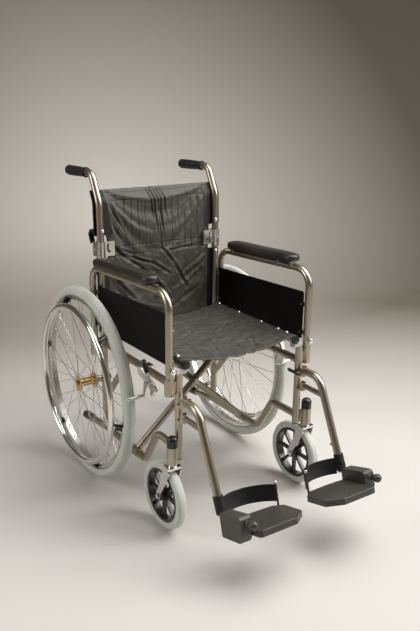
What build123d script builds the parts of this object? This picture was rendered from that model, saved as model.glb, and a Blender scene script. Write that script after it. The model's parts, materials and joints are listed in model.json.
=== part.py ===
from build123d import *
import os
from math import atan2, cos, degrees, radians, sin

# Folding manual wheelchair, in millimetres, +Z up. The chair faces -Y, so +X is the occupant's left.
# It is modelled with the rear axle at Y = 0; the last section moves every piece by FRAME_SHIFT, which
# puts the origin on the floor at the centre of the footprint. The left half is modelled and mirrored.

# ---------------------------------------------------------------- driving dimensions
FRAME_X = 210.0            # plane of each folding side frame
ARM_X = 238.0              # plane of each armrest
TUBE_R = 11.0              # 22 mm frame tube
ARM_TUBE_R = 10.5
FIT = 0.05                 # radial running clearance of a shaft in its bore
AIR = 0.3                  # gap left between faces that move past each other

AXLE_Z = 305.0             # rear wheel radius, so also the axle height
AXLE_R = 6.0
WHEEL_X = 277.0
TYRE_TUBE_R = 17.0
RIM_INNER_R = 262.0
RIM_OUTER_R = 276.0
RIM_HALF_WIDTH = 11.0
HUB_FLANGE_R = 23.5
HUB_FLANGE_X = 27.0
HUB_BARREL_R = 13.0
SPOKES = 36
SPOKE_R = 1.0
HANDRIM_X = 314.0
HANDRIM_R = 246.0
HANDRIM_TUBE_R = 9.5
HANDRIM_TABS = 6
TAB_START = 11.0           # angle of the first tab

FRONT_POST_Y = -444.0
FRONT_POST_FOOT_Z = 220.0
FRONT_POST_TOP_Z = 467.0
REAR_POST_LEAN = 5.0       # how far the rear post leans back over its height
CANE_TOP_Z = 708.0         # top of the fixed part of the back cane
UPPER_RAIL_Z = 423.0
LOWER_RAIL_Z = 132.0
STEP_RAIL_Z = 246.0        # front stretch of the lower rail, above the caster
STEP_TOP_Y = -329.0
STEP_FOOT_Y = -260.0
LOWER_RAIL_BENDS = (36.0, 30.0, 60.0)
TIP_LEVER = (150.0, 116.0)
TIP_SLEEVE_LENGTH = 40.0
GUSSET_FOOT_Z = 232.0
GUSSET_HEAD_Y = -165.0
GUIDE_Z = 467.0            # underside of the two saddles that the seat rail drops into

SEAT_RAIL_X = 190.0
SEAT_RAIL_Z = 490.0
SEAT_RAIL_FRONT_Y = -446.0
SEAT_RAIL_REAR_Y = -40.0
BRACE_A_Y = -197.5
BRACE_B_Y = -172.5
BRACE_SLEEVE_LENGTH = 46.0
BRACE_SLEEVE_R = 14.5
BRACE_BOLT_R = 5.0

CASTER_X = 238.7
CASTER_STEM_Y = -458.0
CASTER_TRAIL = 43.0
CASTER_R = 100.0
CASTER_WIDTH = 27.0
CASTER_HOUSING_R = 15.5
CASTER_WEB = (24.0, 10.0, 38.0)          # length, thickness and height
CASTER_FELLOE_R = 79.0
CASTER_CORE_WIDTH = 22.0
CASTER_CROWN = (43.0, 32.0, 7.0)         # width, depth and thickness of the fork's crown
CASTER_LEG_THICKNESS = 4.0
CASTER_HOUSING_Z = (214.0, 266.0)
CASTER_STEM_R = 8.0
CAP_HEIGHT = 32.0
CASTER_AXLE_R = 5.0
CASTER_SPOKES = 8

HANGER_PIVOT_Y = -468.0
HANGER_PIN_R = 4.0
HANGER_LUG_WIDTH = 20.0
HANGER_LUG_THICKNESS = 4.7
HANGER_BEND_R = 48.0
HANGER_BRACE_R = 8.0
HANGER_BRACE_END_Y = -560.0
LATCH_INSET = 19.0         # release lever's trunnion, inboard of the frame plane
HANGER_TOP_Z = 398.0
HANGER_BRACE_Z = 350.0
HANGER_BEND_Y = -539.0
HANGER_FOOT = (-656.0, 149.0)
FOOT_TILT = 16.0           # the footplate rises towards the toes
FOOT_AXIS = (-656.0, 153.0)
FOOT_STEM_R = 7.0
FOOT_STEM_LENGTH = 128.0
FOOTPLATE_INNER_X = 39.0
FOOTPLATE_TOP = -17.5
FOOTPLATE_THICKNESS = 18.0
HEEL_PIN_HEIGHT = 66.0
HEEL_STRAP_HEIGHT = 44.0
BUMPER_R = 12.0

ARM_FRONT_Y = -442.0
ARM_REAR_Y = 10.0
ARM_FRONT_TOP_Z = 692.0    # the top tube slopes down towards the back
ARM_REAR_TOP_Z = 670.0
ARM_BEND_R = 48.0
SOCKET_R = 13.5
SOCKET_STRAP = (12.0, 9.0, 30.0)         # width, thickness and height of its welded strap
FRONT_SOCKET_Z = (410.0, 458.0)
REAR_SOCKET_Z = (388.0, 440.0)
PAD_Y = (-379.0, -36.0)
PAD_RISE = 11.0            # underside of the pad above the top tube's centre line
PAD_THICKNESS = 27.0
PAD_WIDTH = 56.0
PAD_SHIFT = 5.0            # how far the pad stands outboard of its tube
SADDLES_Y = (-362.0, -302.0, -70.0)
PANEL_X = 225.0
PANEL_THICKNESS = 2.4
PANEL_FRONT = (-434.0, 484.0, 629.0)    # y, lower z and upper z of the front edge
PANEL_REAR = (2.0, 476.0, 611.0)
PANEL_RIVET_Z = (504.0, 590.0)
PANEL_RIVET_INSET = 16.0
LOCK_Z = 482.0

BACK_PIVOT = (20.0, 720.0)
BACK_PIN_R = 4.0
BRACKET_WALL = 3.0
BRACKET_HEIGHT = 44.0
RELEASE_PIVOT = (27.0, 775.0)
RELEASE_PIN_R = 2.5
RELEASE_LEVER = ((60.0, 770.0, 5.0), (72.0, 758.0, 5.0), (62.0, 734.0, 4.0))
HINGE_PLATE = (35.0, 46.0, 3.0)          # width, height and thickness
HINGE_SLOT = (24.0, 6.0)
CANE_LUG = (15.0, 740.0)
UPPER_CANE_FOOT_Z = 724.0
UPPER_CANE_BEND = (10.0, 862.0)
HANDLE_BEND = (53.0, 945.0)
HANDLE_END = (214.0, 939.0)
GRIP_R = 15.0
GRIP_START_Y = 92.0
GRIP_END_Y = 222.0

CLAMP_Y = -276.0           # middle of the clamp on the upper rail
CLAMP_LENGTH = 30.0
CLAMP_HEEL = (-340.0, 378.0)
SHOE_PIVOT = (-322.0, 404.0)
SHOE_BAR = (-309.8, 362.0)
SHOE_BAR_R = 6.0
LEVER_PIVOT = (-345.0, 398.0)
LEVER_ELBOW = (-326.0, 430.0)
LEVER_TIP = (-303.0, 462.0)
LEVER_TAIL = (-375.0, 402.0)
BRAKE_PIN_R = 3.0
BRAKE_PLATE_X = 232.0
BRAKE_PLATE_THICKNESS = 4.0
BRAKE_LINK_THICKNESS = 3.5

SEAT_EDGE_Z = 505.0
SEAT_SAG = 16.0
SLING_THICKNESS = 5.0
BACK_EDGE_Y = 14.0
BACK_SAG = 26.0
BACK_BOTTOM_Z = 456.0
BACK_TOP_Z = 895.0

FRAME_SHIFT = (0.0, 248.8, 0.0)

os.makedirs("parts", exist_ok=True)
left_pieces = {}


def side_path(x, points, radii):
    """A bent tube's centre line in the plane X = x, from (y, z) points and one radius for each bend."""
    with BuildLine() as centre_line:
        FilletPolyline(*[(x, y, z) for y, z in points], radius=radii)
    return centre_line.wire()


def tube(path, radius):
    """Sweep a round section along a path, joining the result to the part being built."""
    with BuildSketch(Plane(origin=path @ 0, z_dir=path % 0)) as section:
        Circle(radius)
    sweep(section.sketch, path=path)


def rod(start, end, radius, mode=Mode.ADD):
    """A straight round bar, or with Mode.SUBTRACT a round hole, between two points."""
    along = Vector(*end) - Vector(*start)
    with BuildSketch(Plane(origin=start, z_dir=along)) as section:
        Circle(radius)
    extrude(section.sketch, amount=along.length, mode=mode)


def side_plate(x, thickness, circles):
    """A flat plate across X that wraps a row of (y, z, radius) circles."""
    for first, second in zip(circles, circles[1:]):
        with BuildSketch(Plane(origin=(x, 0, 0), x_dir=(0, 1, 0), z_dir=(1, 0, 0))) as outline:
            for y, z, radius in (first, second):
                with Locations((y, z)):
                    Circle(radius)
            make_hull()
        extrude(outline.sketch, amount=thickness)


def spoke_ends(index):
    """The hub end and the rim end of one spoke; the pattern crosses pairs tangentially."""
    side = 1 if index % 2 else -1
    turn = 1 if (index // 2) % 2 else -1
    rim_angle = radians(360.0 * index / SPOKES)
    hub_angle = rim_angle + radians(62.0) * turn
    hub_x = WHEEL_X + side * (HUB_FLANGE_X + 2.2 * turn)
    hub_r = HUB_FLANGE_R - 4.0
    rim_r = RIM_INNER_R + 1.0
    hub_end = (hub_x, hub_r * cos(hub_angle), AXLE_Z + hub_r * sin(hub_angle))
    rim_end = (WHEEL_X + side * (3.0 + 0.5 * turn), rim_r * cos(rim_angle), AXLE_Z + rim_r * sin(rim_angle))
    return hub_end, rim_end


axle_plane = Plane(origin=(0, 0, AXLE_Z), x_dir=(0, 1, 0), z_dir=(1, 0, 0))
caster_y = CASTER_STEM_Y + CASTER_TRAIL
caster_plane = Plane(origin=(CASTER_X, caster_y, CASTER_R), x_dir=(0, 1, 0), z_dir=(1, 0, 0))
foot_up = (0, sin(radians(FOOT_TILT)), cos(radians(FOOT_TILT)))
foot_plane = Plane(origin=(FRAME_X, *FOOT_AXIS), x_dir=(1, 0, 0), z_dir=foot_up)
toe_dir = Vector(0, -cos(radians(FOOT_TILT)), sin(radians(FOOT_TILT)))
foot_origin = Vector(FRAME_X, *FOOT_AXIS)

# ---------------------------------------------------------------- welded side frame
with BuildPart() as side_frame:
    rod((FRAME_X, FRONT_POST_Y, FRONT_POST_FOOT_Z), (FRAME_X, FRONT_POST_Y, FRONT_POST_TOP_Z), TUBE_R)
    rod((FRAME_X, 0, LOWER_RAIL_Z), (FRAME_X, REAR_POST_LEAN, CANE_TOP_Z), TUBE_R)
    rod((FRAME_X, FRONT_POST_Y, UPPER_RAIL_Z), (FRAME_X, REAR_POST_LEAN / 2, UPPER_RAIL_Z), TUBE_R)
    lower_rail = side_path(
        FRAME_X,
        [(FRONT_POST_Y, STEP_RAIL_Z), (STEP_TOP_Y, STEP_RAIL_Z), (STEP_FOOT_Y, LOWER_RAIL_Z),
         (0, LOWER_RAIL_Z), TIP_LEVER],
        LOWER_RAIL_BENDS,
    )
    tube(lower_rail, TUBE_R)
    rod((FRAME_X, 0, GUSSET_FOOT_Z), (FRAME_X, GUSSET_HEAD_Y, UPPER_RAIL_Z), TUBE_R - 1)
    # caster housing and the web that joins it to the front post
    rod((CASTER_X, CASTER_STEM_Y, CASTER_HOUSING_Z[0]), (CASTER_X, CASTER_STEM_Y, CASTER_HOUSING_Z[1]),
        CASTER_HOUSING_R)
    with BuildSketch(Plane.XY.offset(CASTER_HOUSING_Z[0] + 8)):
        with Locations(((FRAME_X + CASTER_X) / 2, (FRONT_POST_Y + CASTER_STEM_Y) / 2)):
            web_angle = degrees(atan2(CASTER_STEM_Y - FRONT_POST_Y, CASTER_X - FRAME_X))
            Rectangle(CASTER_WEB[0], CASTER_WEB[1], rotation=web_angle)
    extrude(amount=CASTER_WEB[2])
    # armrest sockets and their welded straps
    for socket_y, post_y, (low, high) in (
        (ARM_FRONT_Y, FRONT_POST_Y, FRONT_SOCKET_Z),
        (ARM_REAR_Y, REAR_POST_LEAN / 2, REAR_SOCKET_Z),
    ):
        rod((ARM_X, socket_y, low), (ARM_X, socket_y, high), SOCKET_R)
        with BuildSketch(Plane.XY.offset(low + 8)):
            with Locations(((FRAME_X + ARM_X) / 2, (socket_y + post_y) / 2)):
                Rectangle(SOCKET_STRAP[0], SOCKET_STRAP[1])
        extrude(amount=SOCKET_STRAP[2])
    # hanger lugs with their upright pins
    pin_spans = ((HANGER_TOP_Z - 18, HANGER_TOP_Z + 4), (HANGER_BRACE_Z - 15, HANGER_BRACE_Z + 8))
    for pin_low, pin_high in pin_spans:
        with BuildSketch(Plane.XY.offset(pin_low)):
            with Locations((FRAME_X, (HANGER_PIVOT_Y + FRONT_POST_Y) / 2)):
                SlotCenterToCenter(FRONT_POST_Y - HANGER_PIVOT_Y, HANGER_LUG_WIDTH, rotation=90)
        extrude(amount=HANGER_LUG_THICKNESS)
        rod((FRAME_X, HANGER_PIVOT_Y, pin_low), (FRAME_X, HANGER_PIVOT_Y, pin_high), HANGER_PIN_R)
    # holes for the axle bolt, the caster stem and the armrest posts
    rod((FRAME_X - 30, 0, AXLE_Z), (FRAME_X + 30, 0, AXLE_Z), AXLE_R, Mode.SUBTRACT)
    rod((CASTER_X, CASTER_STEM_Y, 200), (CASTER_X, CASTER_STEM_Y, 270), CASTER_STEM_R + FIT, Mode.SUBTRACT)
    for socket_y, (low, high) in ((ARM_FRONT_Y, FRONT_SOCKET_Z), (ARM_REAR_Y, REAR_SOCKET_Z)):
        rod((ARM_X, socket_y, low - 1), (ARM_X, socket_y, high + 1), ARM_TUBE_R + FIT, Mode.SUBTRACT)
left_pieces["side_frame"] = side_frame

with BuildPart() as plastic_caps:
    # plug under the front post
    with BuildSketch(Plane.XY.offset(FRONT_POST_FOOT_Z - 5)):
        with Locations((FRAME_X, FRONT_POST_Y)):
            Circle(TUBE_R - 0.5)
    extrude(amount=5)
    fillet(edges().group_by(Axis.Z)[0], 3)
    # dome over the caster stem
    with BuildSketch(Plane.XY.offset(CASTER_HOUSING_Z[1])):
        with Locations((CASTER_X, CASTER_STEM_Y)):
            Circle(CASTER_HOUSING_R)
    extrude(amount=CAP_HEIGHT)
    fillet(edges().group_by(Axis.Z)[-1], CASTER_HOUSING_R - 2)
    # rubber tip on the tipping lever
    tip_dir = Vector(0, TIP_LEVER[0], TIP_LEVER[1] - LOWER_RAIL_Z).normalized()
    tip_start = Vector(FRAME_X, *TIP_LEVER)
    sleeve_start = tip_start - tip_dir * TIP_SLEEVE_LENGTH
    rod(sleeve_start, tip_start + tip_dir * 6, TUBE_R + 3)
    rod(sleeve_start, tip_start, TUBE_R, Mode.SUBTRACT)
left_pieces["plastic_caps"] = plastic_caps

with BuildPart() as rail_guides:
    # saddles that the seat rail drops into, on the front post and on the back cane
    with BuildSketch(Plane.XY.offset(GUIDE_Z)):
        with Locations((FRAME_X - 7, FRONT_POST_Y + 6)):
            RectangleRounded(34, 22, 4)
    extrude(amount=14)
    with BuildSketch(Plane.XY.offset(GUIDE_Z)):
        with Locations((FRAME_X - 10, SEAT_RAIL_REAR_Y + 12)):
            RectangleRounded(44, 34, 4)
    extrude(amount=18)
    rod((SEAT_RAIL_X, -600, SEAT_RAIL_Z), (SEAT_RAIL_X, 100, SEAT_RAIL_Z), TUBE_R + AIR, Mode.SUBTRACT)
    rod((FRAME_X, 0, LOWER_RAIL_Z), (FRAME_X, REAR_POST_LEAN, CANE_TOP_Z), TUBE_R, Mode.SUBTRACT)
left_pieces["rail_guides"] = rail_guides

# ---------------------------------------------------------------- rear wheel
with BuildPart() as axle_bolt:
    rod((FRAME_X - TUBE_R - 5, 0, AXLE_Z), (WHEEL_X + 36, 0, AXLE_Z), AXLE_R)
    with BuildSketch(axle_plane.offset(FRAME_X - TUBE_R - 6)):
        RegularPolygon(10, 6)
    extrude(amount=6)
    with BuildSketch(axle_plane.offset(FRAME_X + TUBE_R + 0.5)):
        Circle(11)
    extrude(amount=WHEEL_X - HUB_FLANGE_X - 3 - AIR - FRAME_X - TUBE_R - 0.5)
    with BuildSketch(axle_plane.offset(WHEEL_X + HUB_FLANGE_X + 3 + AIR)):
        RegularPolygon(9, 6)
    extrude(amount=5)
left_pieces["axle_bolt"] = axle_bolt

with BuildPart() as rear_hub:
    for flange_x in (-HUB_FLANGE_X, HUB_FLANGE_X):
        with BuildSketch(axle_plane.offset(WHEEL_X + flange_x - 1.5)):
            Circle(HUB_FLANGE_R)
        extrude(amount=3)
    with BuildSketch(axle_plane.offset(WHEEL_X - HUB_FLANGE_X - 3)):
        Circle(HUB_BARREL_R)
    extrude(amount=2 * HUB_FLANGE_X + 6)
    with BuildSketch(axle_plane.offset(WHEEL_X - HUB_FLANGE_X - 10)):
        Circle(AXLE_R + FIT)
    extrude(amount=2 * HUB_FLANGE_X + 20, mode=Mode.SUBTRACT)
left_pieces["rear_hub"] = rear_hub

with BuildPart() as spokes:
    for spoke in range(SPOKES):
        hub_end, rim_end = spoke_ends(spoke)
        rod(hub_end, rim_end, SPOKE_R)
left_pieces["spokes"] = spokes

wheel_axis = Axis((0, 0, AXLE_Z), (1, 0, 0))
rim_mid_r = (RIM_INNER_R + RIM_OUTER_R) / 2

with BuildPart() as rear_rim:
    with BuildSketch(Plane.XZ):
        with Locations((WHEEL_X, AXLE_Z + rim_mid_r)):
            RectangleRounded(2 * RIM_HALF_WIDTH, RIM_OUTER_R - RIM_INNER_R, 3)
    revolve(axis=wheel_axis)
left_pieces["rear_rim"] = rear_rim

with BuildPart() as rear_tyre:
    with BuildSketch(Plane.XZ):
        with Locations((WHEEL_X, AXLE_Z + AXLE_Z - TYRE_TUBE_R)):
            Circle(TYRE_TUBE_R)
        with Locations((WHEEL_X, AXLE_Z + rim_mid_r)):
            RectangleRounded(2 * RIM_HALF_WIDTH, RIM_OUTER_R - RIM_INNER_R, 3, mode=Mode.SUBTRACT)
    revolve(axis=wheel_axis)
left_pieces["rear_tyre"] = rear_tyre

with BuildPart() as handrim:
    with BuildSketch(Plane.XZ):
        with Locations((HANDRIM_X, AXLE_Z + HANDRIM_R)):
            Circle(HANDRIM_TUBE_R)
    revolve(axis=wheel_axis)
    # tabs that stand on the rim's flank; each is a flat strut in a plane through the axle
    for tab in range(HANDRIM_TABS):
        tab_plane = axle_plane.rotated((360.0 * tab / HANDRIM_TABS + TAB_START, 0, 0))
        with BuildSketch(Plane(origin=tab_plane.origin, x_dir=(1, 0, 0), z_dir=tab_plane.y_dir)) as strut:
            with BuildLine():
                Polyline(
                    (WHEEL_X + RIM_HALF_WIDTH, rim_mid_r + 4), (WHEEL_X + RIM_HALF_WIDTH, rim_mid_r - 6),
                    (HANDRIM_X - 8, HANDRIM_R - 3), (HANDRIM_X - 2, HANDRIM_R + 8), close=True,
                )
            make_face()
        extrude(strut.sketch, amount=4, both=True)
left_pieces["handrim"] = handrim

# ---------------------------------------------------------------- caster
crown_z = CASTER_HOUSING_Z[0] - 5

with BuildPart() as caster_fork:
    for stem_top, radius in ((CASTER_HOUSING_Z[1] - 2, CASTER_STEM_R), (CASTER_HOUSING_Z[0] - AIR, 13)):
        rod((CASTER_X, CASTER_STEM_Y, crown_z), (CASTER_X, CASTER_STEM_Y, stem_top), radius)
    with BuildSketch(Plane.XY.offset(crown_z - CASTER_CROWN[2])):
        with Locations((CASTER_X, CASTER_STEM_Y)):
            RectangleRounded(CASTER_CROWN[0], CASTER_CROWN[1], 5)
    extrude(amount=CASTER_CROWN[2])
    half_crown = CASTER_CROWN[0] / 2
    for leg_x in (CASTER_X - half_crown, CASTER_X + half_crown - CASTER_LEG_THICKNESS):
        side_plate(leg_x, CASTER_LEG_THICKNESS, [
            (CASTER_STEM_Y, crown_z - 3, 3.5),
            (CASTER_STEM_Y + 3, crown_z - 17, 16),
            (CASTER_STEM_Y + 15, crown_z - 52, 12),
            (caster_y - 3, CASTER_R + 12, 9),
            (caster_y, CASTER_R, 10),
        ])
    with BuildSketch(caster_plane.offset(-24.5)):
        Circle(7)
    extrude(amount=3)
    with BuildSketch(caster_plane.offset(21.5)):
        RegularPolygon(8, 6)
    extrude(amount=4)
    with BuildSketch(caster_plane.offset(-22)):
        Circle(CASTER_AXLE_R)
    extrude(amount=44)
left_pieces["caster_fork"] = caster_fork

caster_axis = Axis((CASTER_X, caster_y, CASTER_R), (1, 0, 0))

with BuildPart() as caster_tyre:
    with BuildSketch(Plane.XZ.offset(-caster_y)):
        with Locations((CASTER_X, CASTER_R + (CASTER_FELLOE_R + CASTER_R) / 2)):
            RectangleRounded(CASTER_WIDTH, CASTER_R - CASTER_FELLOE_R, 9)
        with Locations((CASTER_X, CASTER_R + CASTER_FELLOE_R)):
            Rectangle(CASTER_CORE_WIDTH, 4)
    revolve(axis=caster_axis)
    with BuildSketch(caster_plane.offset(-30)):
        Circle(CASTER_FELLOE_R)
    extrude(amount=60, mode=Mode.SUBTRACT)
left_pieces["caster_tyre"] = caster_tyre

with BuildPart() as caster_core:
    with BuildSketch(caster_plane.offset(-CASTER_CORE_WIDTH / 2)):
        Circle(CASTER_FELLOE_R)
        Circle(CASTER_FELLOE_R - 9, mode=Mode.SUBTRACT)
    extrude(amount=CASTER_CORE_WIDTH)
    with BuildSketch(caster_plane.offset(-5)):
        with PolarLocations(43, CASTER_SPOKES):
            Rectangle(62, 9)
    extrude(amount=10)
    with BuildSketch(caster_plane.offset(-17)):
        Circle(15)
    extrude(amount=34)
    with BuildSketch(caster_plane.offset(-20)):
        Circle(CASTER_AXLE_R + FIT)
    extrude(amount=40, mode=Mode.SUBTRACT)
left_pieces["caster_core"] = caster_core

# ---------------------------------------------------------------- swing-away hanger and footplate
with BuildPart() as hanger:
    hanger_line = side_path(
        FRAME_X, [(HANGER_PIVOT_Y, HANGER_TOP_Z), (HANGER_BEND_Y, HANGER_TOP_Z), HANGER_FOOT], HANGER_BEND_R
    )
    tube(hanger_line, TUBE_R)
    knuckles = (
        (HANGER_TOP_Z - 13, HANGER_TOP_Z + TUBE_R, TUBE_R),
        (HANGER_BRACE_Z - 10, HANGER_BRACE_Z + 10, TUBE_R - 1),
    )
    for low, high, radius in knuckles:
        rod((FRAME_X, HANGER_PIVOT_Y, low), (FRAME_X, HANGER_PIVOT_Y, high), radius)
    brace_ends = [(FRAME_X, y, HANGER_BRACE_Z) for y in (HANGER_PIVOT_Y, HANGER_BRACE_END_Y)]
    rod(*brace_ends, HANGER_BRACE_R)
    # stem that the footplate turns on, and the clamp bolt behind the tube
    stem_tip = foot_origin + toe_dir * FOOT_STEM_LENGTH
    rod(foot_origin, stem_tip, FOOT_STEM_R)
    rod((FRAME_X, -625, 210), (FRAME_X, -606, 218), 4)
    rod((FRAME_X, -610, 216.4), (FRAME_X, -606, 218), 7)
    # bores for the two upright pins
    bore_r = HANGER_PIN_R + FIT
    for low, high in ((HANGER_TOP_Z - 20, HANGER_TOP_Z + 5), (HANGER_BRACE_Z - 20, HANGER_BRACE_Z + 20)):
        rod((FRAME_X, HANGER_PIVOT_Y, low), (FRAME_X, HANGER_PIVOT_Y, high), bore_r, Mode.SUBTRACT)
    # trunnion of the release lever
    latch_x = FRAME_X - LATCH_INSET
    rod((latch_x, HANGER_PIVOT_Y, HANGER_TOP_Z - 12), (latch_x, HANGER_PIVOT_Y, HANGER_TOP_Z - 4), 3)
    with BuildSketch(Plane.XY.offset(HANGER_TOP_Z - 4)):
        with Locations((FRAME_X - 14, HANGER_PIVOT_Y)):
            SlotCenterToCenter(10, 10)
    extrude(amount=4)
left_pieces["hanger"] = hanger

with BuildPart() as hanger_latch:
    with BuildSketch(Plane.XY.offset(HANGER_TOP_Z - 12)):
        with Locations((latch_x, HANGER_PIVOT_Y + 22)):
            SlotCenterToCenter(44, 8, rotation=90)
        with Locations((latch_x, HANGER_PIVOT_Y)):
            Circle(6)
        with Locations((latch_x, HANGER_PIVOT_Y)):
            Circle(3 + FIT, mode=Mode.SUBTRACT)
    extrude(amount=7.5)
    fillet(edges().filter_by(GeomType.CIRCLE).group_by(Axis.Y)[-1], 1)
left_pieces["hanger_latch"] = hanger_latch

with BuildPart() as bumper:
    ball_centre = foot_origin + toe_dir * (FOOT_STEM_LENGTH + 10)
    with Locations(ball_centre):
        Sphere(BUMPER_R)
    rod(foot_origin + toe_dir * (FOOT_STEM_LENGTH - 8), ball_centre, FOOT_STEM_R + 2)
    rod(foot_origin, stem_tip, FOOT_STEM_R, Mode.SUBTRACT)
left_pieces["bumper"] = bumper

plate_inner = FOOTPLATE_INNER_X - FRAME_X
with BuildPart() as footplate:
    with BuildSketch(foot_plane.offset(FOOTPLATE_TOP - FOOTPLATE_THICKNESS)):
        with BuildLine():
            Polyline(
                (-12, -20), (-80, -14), (plate_inner + 26, -18), (plate_inner, -40), (plate_inner, -112),
                (plate_inner + 42, -143), (-20, -143), (-12, -136), close=True,
            )
        make_face()
        fillet(vertices(), 5)
    extrude(amount=FOOTPLATE_THICKNESS)
    fillet(faces().sort_by(Axis.Z)[-1].edges(), 2.5)
    with BuildSketch(Plane(origin=foot_origin + Vector(-16, 0, 0), x_dir=-toe_dir, z_dir=(1, 0, 0))):
        with BuildLine():
            Polyline(
                (-14, -52), (-14, 8), (-20, 13), (-100, 16), (-107, 10), (-107, -30), (-92, -52), close=True,
            )
        make_face()
        fillet(vertices(), 3)
    extrude(amount=33)
    rod(foot_origin - toe_dir * 5, foot_origin + toe_dir * 130, FOOT_STEM_R + FIT, Mode.SUBTRACT)
    # pin that holds the heel loop
    pin_foot = foot_origin + toe_dir * 32 + Vector(plate_inner + 14, 0, 0)
    pin_foot += Vector(*foot_up) * (FOOTPLATE_TOP - 4)
    rod(pin_foot, pin_foot + Vector(*foot_up) * HEEL_PIN_HEIGHT, 3)
left_pieces["footplate"] = footplate

with BuildPart() as heel_strap:
    with BuildSketch(foot_plane.offset(-6)):
        with BuildLine():
            ThreePointArc((-15.5, 8), (-84, 26), (plate_inner + 14, -27.5))
            offset(amount=1.5, side=Side.BOTH)
        make_face()
    extrude(amount=HEEL_STRAP_HEIGHT)
left_pieces["heel_strap"] = heel_strap

# ---------------------------------------------------------------- lift-off armrest
panel_rivets = [
    (post_y, rivet_y, rivet_z)
    for post_y, rivet_y in (
        (ARM_FRONT_Y, ARM_FRONT_Y + PANEL_RIVET_INSET), (ARM_REAR_Y, ARM_REAR_Y - PANEL_RIVET_INSET),
    )
    for rivet_z in PANEL_RIVET_Z
]

# plane through the top tube's centre line, its local Y running back along the slope
arm_slope = atan2(ARM_FRONT_TOP_Z - ARM_REAR_TOP_Z, ARM_REAR_Y - ARM_FRONT_Y)
arm_plane = Plane(
    origin=(ARM_X, ARM_FRONT_Y, ARM_FRONT_TOP_Z), x_dir=(1, 0, 0), z_dir=(0, sin(arm_slope), cos(arm_slope))
)

with BuildPart() as armrest_tube:
    arm_line = side_path(
        ARM_X,
        [(ARM_FRONT_Y, FRONT_SOCKET_Z[0] + 3), (ARM_FRONT_Y, ARM_FRONT_TOP_Z), (ARM_REAR_Y, ARM_REAR_TOP_Z),
         (ARM_REAR_Y, REAR_SOCKET_Z[0] + 3)],
        ARM_BEND_R,
    )
    tube(arm_line, ARM_TUBE_R)
    # saddles under the pad
    for saddle_y in SADDLES_Y:
        with BuildSketch(arm_plane):
            with Locations((0, saddle_y - ARM_FRONT_Y)):
                RectangleRounded(26, 14, 3)
        extrude(amount=PAD_RISE)
    # welded ears with the rivets that hold the side panel
    for post_y, rivet_y, rivet_z in panel_rivets:
        side_plate(PANEL_X + PANEL_THICKNESS, 4, [(post_y, rivet_z, 6), (rivet_y, rivet_z, 6)])
        rod((PANEL_X - 1.5, rivet_y, rivet_z), (PANEL_X + 4, rivet_y, rivet_z), 2)
        rod((PANEL_X - 1.5, rivet_y, rivet_z), (PANEL_X, rivet_y, rivet_z), 4)
    # bore for the lock button
    rod((ARM_X, ARM_FRONT_Y - 20, LOCK_Z), (ARM_X, ARM_FRONT_Y - 2, LOCK_Z), 4 + FIT, Mode.SUBTRACT)
left_pieces["armrest_tube"] = armrest_tube

with BuildPart() as arm_lock:
    rod((ARM_X, ARM_FRONT_Y - 8, LOCK_Z), (ARM_X, ARM_FRONT_Y - 18, LOCK_Z), 4)
    with BuildSketch(Plane.XZ.offset(-ARM_FRONT_Y + 16)):
        with Locations((ARM_X, LOCK_Z)):
            Circle(8)
    extrude(amount=9)
    fillet(edges().group_by(Axis.Y)[0], 4)
left_pieces["arm_lock"] = arm_lock

with BuildPart() as side_panel:
    with BuildSketch(Plane(origin=(PANEL_X, 0, 0), x_dir=(0, 1, 0), z_dir=(1, 0, 0))):
        with BuildLine():
            Polyline(
                (PANEL_FRONT[0], PANEL_FRONT[1]), (PANEL_REAR[0], PANEL_REAR[1]),
                (PANEL_REAR[0], PANEL_REAR[2]), (PANEL_FRONT[0], PANEL_FRONT[2]), close=True,
            )
        make_face()
        fillet(vertices(), 8)
    extrude(amount=PANEL_THICKNESS)
    for _, rivet_y, rivet_z in panel_rivets:
        rod((PANEL_X - 2, rivet_y, rivet_z), (PANEL_X + 4, rivet_y, rivet_z), 2, Mode.SUBTRACT)
left_pieces["side_panel"] = side_panel

with BuildPart() as arm_pad:
    with BuildSketch(arm_plane.offset(PAD_RISE)):
        with Locations((PAD_SHIFT, (PAD_Y[0] + PAD_Y[1]) / 2 - ARM_FRONT_Y)):
            RectangleRounded(PAD_WIDTH, PAD_Y[1] - PAD_Y[0], 24)
    extrude(amount=PAD_THICKNESS)
    fillet(faces().sort_by(Axis.Z)[-1].edges(), 11)
    fillet(faces().sort_by(Axis.Z)[0].edges(), 5)
left_pieces["arm_pad"] = arm_pad

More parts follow.
